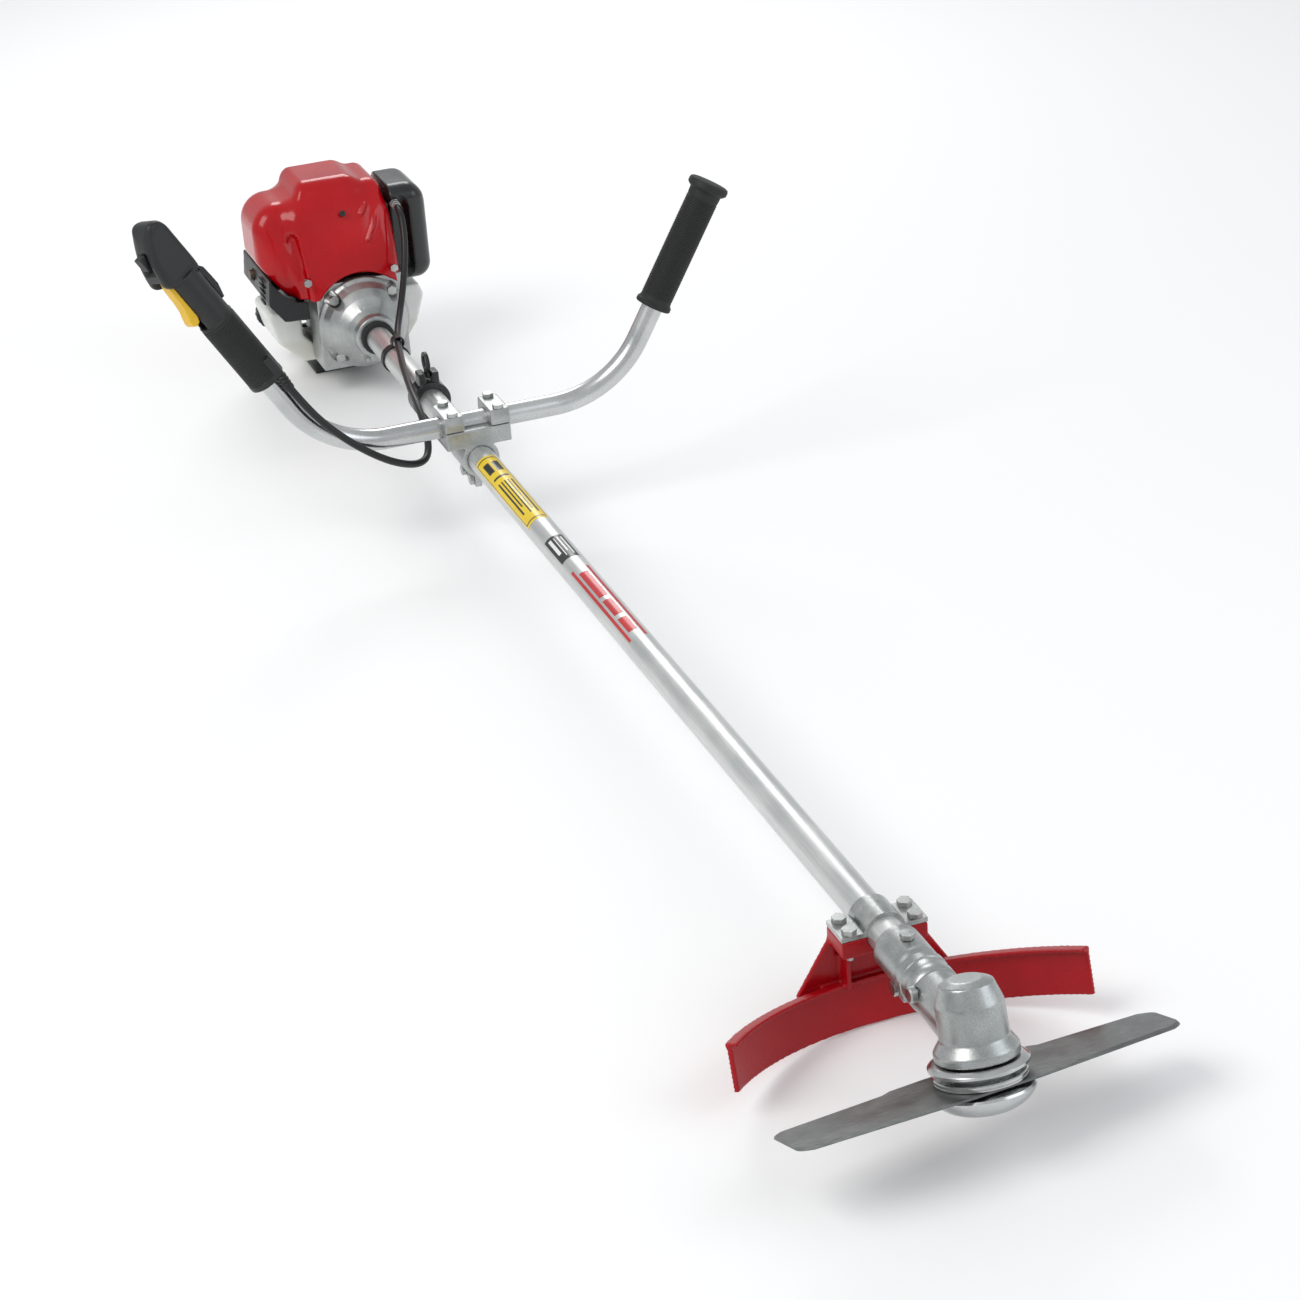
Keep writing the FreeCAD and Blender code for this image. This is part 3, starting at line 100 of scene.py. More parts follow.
for name, place, aim, width, watts, tint in (
        ("softbox", (1.5, -2.1, 2.6), (0.7, 0, 0.1), 1.7, 44, "#FFFDFA"),
        ("fill", (2.6, 1.9, 1.6), (0.8, 0, 0.1), 1.8, 16, "#F4F8FF"),
        ("strip", (-1.6, 0.6, 1.7), (0.1, 0, 0.15), 1.0, 16, "#FFFFFF")):
    lamp = bpy.data.objects.new(name, bpy.data.lights.new(name, "AREA"))
    lamp.data.size = width
    lamp.data.energy = watts
    lamp.data.color = linear(tint)[:3]
    lamp.location = place
    lamp.rotation_mode = "QUATERNION"
    lamp.rotation_quaternion = (Vector(aim) - Vector(place)).to_track_quat("-Z", "Y")
    bpy.context.scene.collection.objects.link(lamp)

# Painted board, rolled: even and nearly white.
board, tree, shader = blank("painted_board")
shader.inputs["Base Color"].default_value = linear("#FAFAFA")
shader.inputs["Roughness"].default_value = 0.75
floor_mesh = bpy.data.meshes.new("floor")
floor_mesh.from_pydata([(-9, -9, -0.0004), (11, -9, -0.0004), (11, 9, -0.0004), (-9, 9, -0.0004)], [],
                       [(0, 1, 2, 3)])
floor_mesh.materials.append(board)
floor = bpy.data.objects.new("floor", floor_mesh)
bpy.context.scene.collection.objects.link(floor)

# ---------------------------------------------------------------- throttle cable
# A steel wire in a coiled sheath with an extruded black PVC jacket, 7.5 mm across. It leaves the
# throttle grip through a rubber boot, passes under the bar, follows the tube and ends in the carburettor.


def surface(name, light, dark, grain, depth, rough, metallic=0.0, stretch=(1, 1, 1), corner=0.0,
            worn=None, patch=40.0, **shine):
    """A material from the real surface's facts: its two colours, the grain's size and depth in millimetres,
    the roughness from and to, the corner radius in millimetres that catches light, and the worn colour."""
    material, tree, shader = blank(name)
    place = add(tree, "ShaderNodeTexCoord").outputs["Object"]
    run = add(tree, "ShaderNodeMapping", {"Vector": place, "Scale": stretch}).outputs["Vector"]
    fine = add(tree, "ShaderNodeTexNoise", {"Vector": run, "Scale": 1 / (grain * MM), "Detail": 3.0})
    broad = add(tree, "ShaderNodeTexNoise", {"Vector": place, "Scale": 1 / (patch * MM), "Detail": 4.0})
    blend = add(tree, "ShaderNodeMath", {0: fine.outputs["Fac"], 1: broad.outputs["Fac"]},
                operation="MULTIPLY")
    share = add(tree, "ShaderNodeMapRange", {"Value": blend.outputs[0], "From Min": 0.12, "From Max": 0.42})
    colour = add(tree, "ShaderNodeMix", {"Factor": share.outputs["Result"], 6: linear(dark),
                                         7: linear(light)}, data_type="RGBA").outputs[2]
    span = add(tree, "ShaderNodeMapRange", {"Value": broad.outputs["Fac"], "From Min": 0.3, "From Max": 0.7,
                                            "To Min": rough[0], "To Max": rough[1]})
    normal = {}
    if corner:
        edge = add(tree, "ShaderNodeBevel", {"Radius": corner * MM}, samples=4)
        normal = {"Normal": edge.outputs["Normal"]}
        if worn:
            plain = add(tree, "ShaderNodeNewGeometry").outputs["Normal"]
            turn = add(tree, "ShaderNodeVectorMath", {0: edge.outputs["Normal"], 1: plain},
                       operation="DOT_PRODUCT")
            bare = add(tree, "ShaderNodeMapRange", {"Value": turn.outputs["Value"], "From Min": 0.97,
                                                    "From Max": 0.86})
            rub = add(tree, "ShaderNodeMath", {0: bare.outputs["Result"], 1: broad.outputs["Fac"]},
                      operation="MULTIPLY")
            colour = add(tree, "ShaderNodeMix", {"Factor": rub.outputs[0], 6: colour, 7: linear(worn)},
                         data_type="RGBA").outputs[2]
    bump = add(tree, "ShaderNodeBump", {"Height": fine.outputs["Fac"], "Distance": depth * MM,
                                        "Strength": 1.0, **normal})
    tree.links.new(colour, shader.inputs["Base Color"])
    tree.links.new(span.outputs["Result"], shader.inputs["Roughness"])
    tree.links.new(bump.outputs["Normal"], shader.inputs["Normal"])
    shader.inputs["Metallic"].default_value = metallic
    for socket, value in shine.items():
        shader.inputs[socket.replace("_", " ")].default_value = value
    return material


def add_piece(name, mesh, material, body, slot, *stands_for, smooth=True):
    """Puts a finished mesh, already in the row frame, on its body."""
    mesh.materials.clear()
    mesh.materials.append(material)
    if smooth:
        mesh.shade_smooth()
    piece = bpy.data.objects.new(name, mesh)
    bpy.context.scene.collection.objects.link(piece)
    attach(piece, body)
    if stands_for:
        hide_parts(*stands_for)
    return piece


def turn_up(name, profile, foot, along, steps=72):
    """A lathe-turned form from (height, radius) pairs in millimetres, about a line through foot."""
    shape = bmesh.new()
    rings = []
    for height, radius in profile:
        if radius < 1e-6:
            rings.append([shape.verts.new((0, 0, height * MM))])
        else:
            rings.append([shape.verts.new((radius * MM * cos(2 * pi * k / steps),
                                           radius * MM * sin(2 * pi * k / steps),
                                           height * MM)) for k in range(steps)])
    for low, high in zip(rings, rings[1:]):
        for k in range(steps):
            n = (k + 1) % steps
            corners = [low[k % len(low)], low[n % len(low)], high[n % len(high)], high[k % len(high)]]
            corners = list(dict.fromkeys(corners))
            if len(corners) > 2:
                shape.faces.new(corners)
    for ring, facing in ((rings[0], -1), (rings[-1], 1)):
        if len(ring) > 1:
            shape.faces.new(ring[::facing])
    bmesh.ops.recalc_face_normals(shape, faces=shape.faces)
    turn = Vector(along).to_track_quat("Z", "Y").to_matrix().to_4x4()
    shape.transform(Matrix.Translation(Vector(foot)) @ turn)
    mesh = bpy.data.meshes.new(name)
    shape.to_mesh(mesh)
    shape.free()
    mesh.shade_smooth()
    mesh.set_sharp_from_angle(angle=radians(32))
    return mesh


CABLE_WIDTH = 7.5 * MM
CABLE_ROUTE = [
    (546.2, -191, 208.1), (546.2, -176.8, 184), (551, -158, 156), (554, -134, 131), (553, -109, 110),
    (547, -86, 94), (537, -63, 83), (521, -47, 80), (503, -39, 87), (482, -36, 101), (452, -33, 110),
    (412, -29, 113), (366, -21, 110), (318, -12, 105.5), (278, -3.5, 103.2), (240, 4, 102.6), (207, 14, 106),
    (176, 28, 119), (150, 41, 139), (130, 51, 164), (115, 56, 187), (98, 58, 205), (74, 58, 205)]
cable_line = bpy.data.curves.new("throttle_cable_jacket", "CURVE")
cable_line.dimensions = "3D"
spline = cable_line.splines.new("NURBS")
spline.points.add(len(CABLE_ROUTE) - 1)
for point, (x, y, z) in zip(spline.points, CABLE_ROUTE):
    point.co = (x * MM, y * MM, z * MM, 1)
spline.order_u = 3
spline.use_endpoint_u = True
spline.resolution_u = 10
cable_line.bevel_depth = CABLE_WIDTH / 2
cable_line.bevel_resolution = 6
# PVC, extruded: near black, a soft sheen, and faint rings from the coiled sheath under it.
pvc_jacket = surface("pvc_jacket_extruded", "#17191A", "#0B0C0D", 2.2, 0.05, (0.34, 0.46),
                     Specular_IOR_Level=0.45)
cable_line.materials.append(pvc_jacket)
cable = bpy.data.objects.new("throttle_cable_jacket", cable_line)
bpy.context.scene.collection.objects.link(cable)
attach(cable, "root")
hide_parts("throttle_cable")

# Soft PVC boot where the cable leaves the grip, with moulded rings that let it bend.
boot_start = Vector(CABLE_ROUTE[0]) * MM
boot_way = Vector(CABLE_ROUTE[1]) * MM - boot_start
boot_rings = [(-1.0, 4.4), (0.4, 6.3), (2.6, 6.3), (3.4, 5.3), (4.4, 5.3), (5.2, 6.0), (7.2, 5.9),
              (8.0, 5.0), (9.0, 5.0), (9.8, 5.6), (11.6, 5.5), (12.4, 4.8), (13.4, 4.8), (14.2, 5.2),
              (17.4, 4.9), (18.0, 4.2)]
boot = add_piece("cable_boot", turn_up("cable_boot", boot_rings, boot_start, boot_way, 40), pvc_jacket,
                 "root", "black_plastic")

# Zinc-plated adjuster screw, its lock nut and the ferrule, where the jacket ends at the carburettor.
# Zinc plate, clear passivated: pale grey with a cold, slightly cloudy gloss.
zinc_plate = surface("zinc_plate_passivated", "#C9CBC8", "#9FA3A2", 0.9, 0.012, (0.24, 0.40), metallic=1.0,
                     corner=0.4, worn="#E6E7E4", patch=12)
cable_end = Vector(CABLE_ROUTE[-1]) * MM
adjuster = turn_up("cable_adjuster", [(-0.4, 4.2), (0, 5.6), (3.8, 5.6), (4.2, 4.4), (5.4, 4.4), (5.8, 5.4),
                                      (9.6, 5.4), (10.2, 4.4), (14.0, 4.3), (14.6, 3.9)], cable_end,
                   (1, 0, 0), 6)
adjuster_piece = add_piece("cable_adjuster", adjuster, zinc_plate, "root", "zinc_fasteners", smooth=False)

# ---------------------------------------------------------------- main tube, its shaft and bushes
# A drawn 28 mm aluminium tube, anodised clear, clamped at both ends. A ground steel shaft turns inside it
# on sleeved rubber bushes. Three printed vinyl labels are wrapped on it behind the middle.


def clad(material, *nodes):
    """Gives CAD nodes whose shape is right their real finish."""
    for node in nodes:
        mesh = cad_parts[node].data
        mesh.materials.clear()
        mesh.materials.append(material)


# Anodised aluminium, drawn: satin silver with fine lines along its length.
anodised = surface("anodised_aluminium_drawn", "#E2E3E1", "#C6C9C8", 1.1, 0.02, (0.34, 0.46), metallic=0.9,
                   stretch=(0.02, 1, 1), patch=60)
# Ground steel: cool grey with a fine turned grain.
ground_steel = surface("steel_ground", "#A9ACAD", "#7F8385", 0.8, 0.01, (0.2, 0.34), metallic=1.0, corner=0.3)
# Nitrile rubber, moulded: dull black with a slight bloom.
rubber = surface("nitrile_rubber_moulded", "#1C1D1D", "#0E0F0F", 0.7, 0.05, (0.55, 0.72))
clad(anodised, "shaft_tube")
clad(ground_steel, "drive_shaft", "drum_bearings", "pinion_bearings", "output_bearings", "clutch_drum",
     "crankshaft", "pinion_gear", "bevel_gear", "recoil_pulley")
clad(rubber, "shaft_bushes")

TUBE_HEIGHT = 84
TUBE_RADIUS = 14


def wrap_label(name, start, end, low, high, lift, material, steps=40):
    """A thin printed film round the tube, from start to end in millimetres along it and from low to high
    degrees round it, counted from the top towards the operator's right."""
    shape = bmesh.new()
    grid = []
    for angle in np.linspace(radians(low), radians(high), steps):
        for radius in (TUBE_RADIUS + 0.02, TUBE_RADIUS + lift):
            y, z = -radius * sin(angle), TUBE_HEIGHT + radius * cos(angle)
            grid.append([shape.verts.new((x * MM, y * MM, z * MM)) for x in (start, end)])
    for k in range(0, 2 * steps - 2, 2):
        inner, outer, inner_next, outer_next = grid[k:k + 4]
        shape.faces.new((outer[0], outer[1], outer_next[1], outer_next[0]))
        for side in (0, 1):
            shape.faces.new((inner[side], outer[side], outer_next[side], inner_next[side]))
    for inner, outer in (grid[:2], grid[-2:]):
        shape.faces.new((inner[0], inner[1], outer[1], outer[0]))
    bmesh.ops.recalc_face_normals(shape, faces=shape.faces)
    mesh = bpy.data.meshes.new(name)
    shape.to_mesh(mesh)
    shape.free()
    return add_piece(name, mesh, material, "root", "anodised_tube", smooth=False)


# Cast vinyl, printed: flat colour under a thin gloss film.
vinyl_yellow = surface("vinyl_yellow_printed", "#F2D311", "#E2BF0A", 1.5, 0.01, (0.28, 0.4), Coat_Weight=0.3)
vinyl_black = surface("vinyl_black_printed", "#1B1C1E", "#101113", 1.5, 0.01, (0.28, 0.4), Coat_Weight=0.3)
vinyl_red = surface("vinyl_red_printed", "#C8141E", "#AE0F18", 1.5, 0.01, (0.28, 0.4), Coat_Weight=0.3)
vinyl_white = surface("vinyl_white_printed", "#F1F1EE", "#DEDEDA", 1.5, 0.01, (0.28, 0.4), Coat_Weight=0.3)
wrap_label("label_yellow", 584, 752, -34, 74, 0.14, vinyl_yellow)
for count, (start, end, low, high) in enumerate((
        (588, 748, -30, -27.5), (588, 748, 67.5, 70), (588, 590, -30, 70), (746, 748, -30, 70),
        (600, 624, -18, 10), (600, 624, 22, 50), (636, 640, -18, 52), (650, 736, -16, -8), (650, 728, 0, 6),
        (650, 734, 14, 20), (650, 716, 28, 34), (650, 730, 42, 50))):
    wrap_label(f"label_mark_{count}", start, end, low, high, 0.2, vinyl_black, 14)
wrap_label("label_dark", 797, 848, -22, 60, 0.14, vinyl_black)
for count, (low, high) in enumerate(((-12, -6), (4, 8), (18, 22), (32, 46))):
    wrap_label(f"label_dark_line_{count}", 802, 842 - 8 * (count % 2), low, high, 0.2, vinyl_white, 10)
for count, (start, end, low, high) in enumerate(((872, 1028, -24, -12), (872, 1028, 44, 56),
                                                 (884, 940, -2, 34), (948, 980, -2, 34),
                                                 (988, 1016, -2, 34))):
    wrap_label(f"label_stripe_{count}", start, end, low, high, 0.14, vinyl_red, 14)

# ---------------------------------------------------------------- clutch case and fan housing
# Two die castings in aluminium. The bell-shaped clutch case bolts by four lugs to the fan housing,
# and its neck pinches the tube. Their corners have the radii and their skin the grain of a casting.


def settle(name, shape, voxel, passes):
    """Melts a closed form's sharp corners to the radii of a casting or a moulding."""
    mesh = bpy.data.meshes.new(name + "_draft")
    bmesh.ops.remove_doubles(shape, verts=shape.verts, dist=0.00001)
    shape.to_mesh(mesh)
    shape.free()
    draft = bpy.data.objects.new(name + "_draft", mesh)
    bpy.context.scene.collection.objects.link(draft)
    grid = draft.modifiers.new("grid", "REMESH")
    grid.mode = "VOXEL"
    grid.voxel_size = voxel * MM
    easing = draft.modifiers.new("easing", "SMOOTH")
    easing.factor = 0.5
    easing.iterations = passes
    settled = bpy.data.meshes.new_from_object(draft.evaluated_get(bpy.context.evaluated_depsgraph_get()))
    settled.name = name
    bpy.data.objects.remove(draft)
    return settled


def recast(node, name, material, body, slot, voxel, passes, keep_below=None):
    """A piece with a CAD node's form and eased corners, cut off past the plane keep_below if there is one."""
    shape = bmesh.new()
    shape.from_mesh(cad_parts[node].data)
    if keep_below:
        bmesh.ops.remove_doubles(shape, verts=shape.verts, dist=0.00001)
        everything = shape.verts[:] + shape.edges[:] + shape.faces[:]
        cut = bmesh.ops.bisect_plane(shape, geom=everything, plane_co=keep_below[0], plane_no=keep_below[1],
                                     clear_outer=True)["geom_cut"]
        bmesh.ops.holes_fill(shape, edges=[e for e in cut if isinstance(e, bmesh.types.BMEdge)], sides=0)
    return add_piece(name, settle(name, shape, voxel, passes), material, body, slot, node)


# Aluminium, die cast and tumbled: light grey with a fine pebbled skin and a soft, broken shine.
die_cast = surface("aluminium_die_cast", "#C2C5C4", "#989C9B", 0.9, 0.035, (0.28, 0.45), metallic=0.95,
                   patch=25)
# The same alloy as cast and left alone, on parts that stay under the covers.
raw_cast = surface("aluminium_as_cast", "#B4B7B6", "#85898A", 1.2, 0.08, (0.45, 0.62), metallic=0.9,
                   corner=0.6, worn="#D5D7D6")
recast("fan_housing", "fan_housing_casting", die_cast, "root", "cast_aluminium", 1.2, 5)
clad(raw_cast, "flywheel", "connecting_rod", "piston", "engine_block")
clad(zinc_plate, "clutch_case_bolts", "cover_screws", "bar_bolts", "guard_screws", "gear_case_screws",
     "blade_nut", "guard_bracket")


def brick(p, low, high, corner):
    """Distance from points to a block with rounded corners, all in millimetres."""
    low, high = np.array(low, float), np.array(high, float)
    away = np.abs(p - (low + high) / 2) - ((high - low) / 2 - corner)
    return np.linalg.norm(np.maximum(away, 0), axis=1) + np.minimum(away.max(axis=1), 0) - corner


def melt(a, b, width):
    """Union of two distances with a fillet of about that width."""
    share = np.clip(0.5 + 0.5 * (b - a) / width, 0, 1)
    return b + (a - b) * share - width * share * (1 - share)


def carve(a, b, width):
    """What is left of a where b is positive, with an eased edge of about that width."""
    return -melt(-a, -b, width)


def strand(p, points, radius):
    """Distance to a round bead that follows points."""
    best = np.full(len(p), 1e3)
    for a, b in zip(points, points[1:]):
        a, b = np.array(a, float), np.array(b, float)
        share = np.clip(((p - a) @ (b - a)) / ((b - a) @ (b - a)), 0, 1)[:, None]
        best = np.minimum(best, np.linalg.norm(p - a - share * (b - a), axis=1))
    return best - radius


def mould(name, centre, field, cells):
    """The closed skin of a form given by its distances, seen from a centre inside it."""
    line = np.tan(np.linspace(-pi / 4, pi / 4, cells + 1))
    u, v = [g.ravel() for g in np.meshgrid(line, line, indexing="ij")]
    one = np.ones_like(u)
    ways = np.concatenate([np.stack(side, 1) for side in (
        (one, u, v), (-one, v, u), (v, one, u), (u, -one, v), (u, v, one), (v, u, -one))])
    ways /= np.linalg.norm(ways, axis=1)[:, None]
    centre = np.array(centre, float)
    reach = np.full(len(ways), 20.0)
    for _ in range(90):
        reach = np.clip(reach - 0.75 * field(centre + ways * reach[:, None]), 2, 220)
    points = (centre + ways * reach[:, None]) * MM
    side = cells + 1
    corner = (np.arange(cells)[:, None] * side + np.arange(cells)[None, :]).ravel()
    quads = np.stack([corner, corner + side, corner + side + 1, corner + 1], 1)
    faces = np.concatenate([quads + k * side * side for k in range(6)])
    mesh = bpy.data.meshes.new(name)
    mesh.from_pydata(points.tolist(), [], faces.tolist())
    shape = bmesh.new()
    shape.from_mesh(mesh)
    bmesh.ops.remove_doubles(shape, verts=shape.verts, dist=0.00002)
    bmesh.ops.recalc_face_normals(shape, faces=shape.faces)
    shape.to_mesh(mesh)
    shape.free()
    return mesh


def clutch_case_form(p):
    x, y, z = p.T
    radius = np.hypot(y, z - TUBE_HEIGHT)
    outline = np.interp(x, (100, 111, 115, 127, 138, 148, 156, 170), (53.5, 53, 49.5, 45.5, 39, 29.5, 25, 23))
    form = (radius - outline) * 0.8
    for across in (-33.94, 33.94):
        for height in (-33.94, 33.94):
            form = melt(form, brick(p, (100, across - 8, TUBE_HEIGHT + height - 8),
                                    (111, across + 8, TUBE_HEIGHT + height + 8), 5), 4)
            bolt = np.hypot(y - across, z - TUBE_HEIGHT - height) - 7.2
            form = carve(form, -np.maximum(bolt, 111.2 - x), 1.5)
    form = melt(form, brick(p, (144, -10, 54), (165, 10, 70), 3), 3)
    for turn in range(8):
        angle = radians(22.5 + 45 * turn)
        rib = strand(p, ((112, 50 * sin(angle), TUBE_HEIGHT + 50 * cos(angle)),
                         (146, 29 * sin(angle), TUBE_HEIGHT + 29 * cos(angle))), 1.2)
        form = melt(form, rib, 2.5) if turn % 2 else form
    form = carve(form, 106 - x, 1)
    return carve(form, x - 166, 2)


# The bell: its lower neck is slit and pinched on the tube by a lug.
add_piece("clutch_case_casting", mould("clutch_case_casting", (124, 0, 84), clutch_case_form, 100),
          die_cast, "root", "cast_aluminium", "clutch_case")

# Black rubber collar that seals the tube where it enters the case's neck.
seal_rings = [(0, 14.3), (0, 18.2), (1.2, 19.0), (3.4, 19.0), (4.6, 18.0), (5.4, 14.3)]
add_piece("tube_seal", turn_up("tube_seal", seal_rings, (0.1665, 0, TUBE_HEIGHT * MM), (1, 0, 0)), rubber,
          "root", "black_rubber")

# ---------------------------------------------------------------- engine block and what hangs on it
# Crankcase, finned cylinder and head in one raw casting, with a steel muffler, a plug with its rubber
# boot, an ignition coil and the centrifugal clutch's sintered shoes. The covers hide most of them.

# Sintered iron: dark and porous.
sintered = surface("iron_sintered", "#5E5B58", "#3B3937", 0.6, 0.06, (0.5, 0.7), metallic=0.8)
# Mild steel, heat tinted: brown and blue patches over grey.
heat_steel = surface("steel_heat_tinted", "#8A7A6A", "#4E4A4C", 9.0, 0.03, (0.35, 0.55), metallic=1.0,
                     corner=1.0)
# Alumina, glazed: clean white, glassy.
ceramic = surface("alumina_glazed", "#EDEAE2", "#DAD6CC", 2.0, 0.01, (0.12, 0.22), Coat_Weight=0.4)
# Glass-filled nylon, moulded on a spark-eroded tool: black with a fine even texture.
nylon = surface("nylon_black_moulded", "#1B1D1E", "#101112", 0.55, 0.045, (0.34, 0.48), corner=0.8,
                worn="#33363A")
clad(sintered, "clutch_shoes")
clad(heat_steel, "muffler")
clad(ceramic, "spark_plug")
clad(nylon, "ignition_coil")

# ---------------------------------------------------------------- red top cover
# One injection moulding in red ABS with a polished skin, which hooks over the cylinder. A raised hump
# runs over the top, its front face leans back, a rounded lobe covers the muffler, and its lower edge
# is cut out round the clutch case.


def lean(p, point, angle):
    """Distance beyond a plane through point that faces forward and tips back by angle, in degrees."""
    return (p[:, 0] - point[0]) * cos(radians(angle)) + (p[:, 2] - point[1]) * sin(radians(angle))


def top_cover_form(p):
    x, y, z = p.T
    body = brick(p, (-22, -68, 90), (109.5, 50, 220), 15)
    body = carve(body, lean(p, (109, 148), 23), 16)
    body = carve(body, (y - 50) * 0.82 + (z - 205) * 0.57, 8)
    hump = carve(brick(p, (-20, -56, 150), (99, 22, 242), 15), lean(p, (99, 166), 25), 12)
    hump = carve(hump, (y + 56) * -0.88 + (z - 230) * 0.47, 10)
    flank = carve(brick(p, (-20, -20, 150), (99, 47, 234), 13), lean(p, (99, 162), 25), 12)
    form = melt(melt(body, flank, 8), hump, 9)
    lobe = carve(brick(p, (-21, -106, 112), (90, -30, 223), 31), lean(p, (88, 168), 18), 18)
    form = melt(form, lobe, 11)
    groove = strand(p, ((101, -62, 112), (99, -63, 140), (93, -64, 163), (84, -66, 184)), 4.5)
    form = carve(form, -groove, 9)
    for bead in (((99.5, 18, 176), (93, 27, 190), (84, 32, 203)), ((88, 16, 204), (83, 22, 212))):
        form = melt(form, strand(p, bead, 1.4), 4)
    form = carve(form, ((y + 100) * -22 + (z - 150) * -16) / 27.2, 3)
    form = carve(form, 117 - z, 2.5)
    return carve(form, 57.4 - np.hypot(y, z - TUBE_HEIGHT), 2.5)


# ABS, moulded and polished: deep crimson, glossy, with a trace of flow in the colour and fine swirls.
red_abs = surface("abs_crimson_polished", "#BC000E", "#A0000A", 1.3, 0.008, (0.15, 0.24), patch=70,
                  Coat_Weight=0.12, Coat_Roughness=0.06, Specular_IOR_Level=0.34)


add_piece("top_cover_shell", mould("top_cover_shell", (40, -26, 176), top_cover_form, 140), red_abs, "root",
          "red_plastic", "top_cover")

# Black cap in the hump's screw well, painted shade: its dark nylon stands for the shadow inside the recess.
well_shade_cap = turn_up("cover_screw_well_shade_cap", [(-2.0, 3.4), (0.6, 3.4), (1.0, 3.0), (1.0, 1.6), (0.2, 1.4), (0.2, 0)],
                      (0.0895, -0.006, 0.208), (cos(radians(25)), 0, sin(radians(25))), 32)
add_piece("cover_screw_well_shade_cap", well_shade_cap, nylon, "root", "black_plastic")

# ---------------------------------------------------------------- lower shroud
# Black nylon guard under the cover on the muffler's side, moulded in one with five louvres and a hole
# for the exhaust outlet.
recast("lower_shroud", "lower_shroud_moulding", nylon, "root", "black_plastic", 1.1, 4)
for count in range(5):
    height = 106 + 6.5 * count
    louvre = turn_up(f"shroud_louvre_{count}", [(-1.0, 1.9), (0.5, 1.9), (1.1, 1.2)],
                     (66 * MM, -104.2 * MM, (height + 8) * MM), Vector((0, -1, 0.08)), 20)
    for vertex in louvre.vertices:
        vertex.co.x = 0.066 + (vertex.co.x - 0.066) * 6.5
    add_piece(f"shroud_louvre_{count}", louvre, nylon, "root", "black_plastic")

# ---------------------------------------------------------------- carburettor and air cleaner
# A small die-cast carburettor with a brass valve, a choke lever and a primer bulb, a foam element,
# and over them a black moulded cover, held by one knob, that pulls straight off.

# Brass, turned: warm yellow with fine rings.
brass = surface("brass_turned", "#C9A255", "#A9843C", 0.7, 0.01, (0.2, 0.32), metallic=1.0)
# Polyurethane foam: charcoal, open cells.
foam = surface("polyurethane_foam", "#3A3C40", "#17181A", 1.6, 0.5, (0.85, 0.95))
clad(die_cast, "carburettor")
clad(brass, "throttle_valve")
clad(nylon, "choke_lever")
clad(rubber, "primer_bulb")
clad(foam, "air_filter")


def cleaner_form(p):
    x, y, z = p.T
    form = brick(p, (-4, 30, 112), (84, 95, 226), 18)
    form = carve(form, (y - 95) * 0.76 + (z - 216) * 0.65, 12)
    form = carve(form, (y - 95) * 0.93 + (116 - z) * 0.37, 6)
    form = carve(form, 52.5 - y, 2)
    recess = brick(p, (70, 40, 122), (110, 72, 207), 9)
    form = carve(form, -recess, 4)
    panel = brick(p, (14, 91.6, 136), (68, 120, 196), 4)
    form = carve(form, -panel, 1.5)
    for height in (150, 161, 172, 183):
        form = melt(form, strand(p, ((20, 92.2, height), (62, 92.2, height)), 1.6), 1.5)
    return form


# Polypropylene, moulded: black with a satin gloss and a fine leather-like grain.
black_pp = surface("polypropylene_black_satin", "#1A1D1E", "#0D0F10", 0.8, 0.03, (0.22, 0.36),
                   Coat_Weight=0.15, Specular_IOR_Level=0.55)
add_piece("air_cleaner_shell", mould("air_cleaner_shell", (40, 72, 168), cleaner_form, 110), black_pp,
          "cleaner_lid", "black_plastic", "air_cleaner_cover")


def star_knob(name, foot, along, radius, height, ribs, material, body, slot, *stands_for):
    """A moulded knob or cap with grip ribs round its rim and a shallow dish on top."""
    shape = bmesh.new()
    steps = ribs * 8
    loops = []
    for level, scale in ((0, 0.96), (0.04, 1.0), (0.82, 1.0), (0.93, 0.97), (1.0, 0.88), (0.97, 0.76),
                         (0.9, 0.7)):
        loop = []
        for k in range(steps):
            angle = 2 * pi * k / steps
            wave = 0.045 * radius * (0.5 + 0.5 * cos(ribs * angle)) if scale > 0.95 else 0.02 * radius
            reach = (radius * scale - 0.045 * radius + wave) * MM
            loop.append(shape.verts.new((reach * cos(angle), reach * sin(angle), level * height * MM)))
        loops.append(loop)
    for low, high in zip(loops, loops[1:]):
        for k in range(steps):
            n = (k + 1) % steps
            shape.faces.new((low[k], low[n], high[n], high[k]))
    shape.faces.new(loops[0][::-1])
    shape.faces.new(loops[-1])
    turned = Vector(along).to_track_quat("Z", "Y").to_matrix().to_4x4()
    shape.transform(Matrix.Translation(Vector(foot) * MM) @ turned)
    mesh = bpy.data.meshes.new(name)
    shape.to_mesh(mesh)
    shape.free()
    return add_piece(name, mesh, material, body, slot, *stands_for)


star_knob("cleaner_knob", (41, 92.5, 124), (0, 1, 0), 7, 4.5, 10, nylon, "cleaner_lid", "black_plastic")

# ---------------------------------------------------------------- fuel tank and caps
# A blow-moulded tank in natural HDPE hangs round the crankcase, with a flash line round its middle.
# Petrol shows through its lower half. Ribbed black caps close the tank and the oil filler.

tank_white, tree, shader = blank("hdpe_natural_blow_moulded")
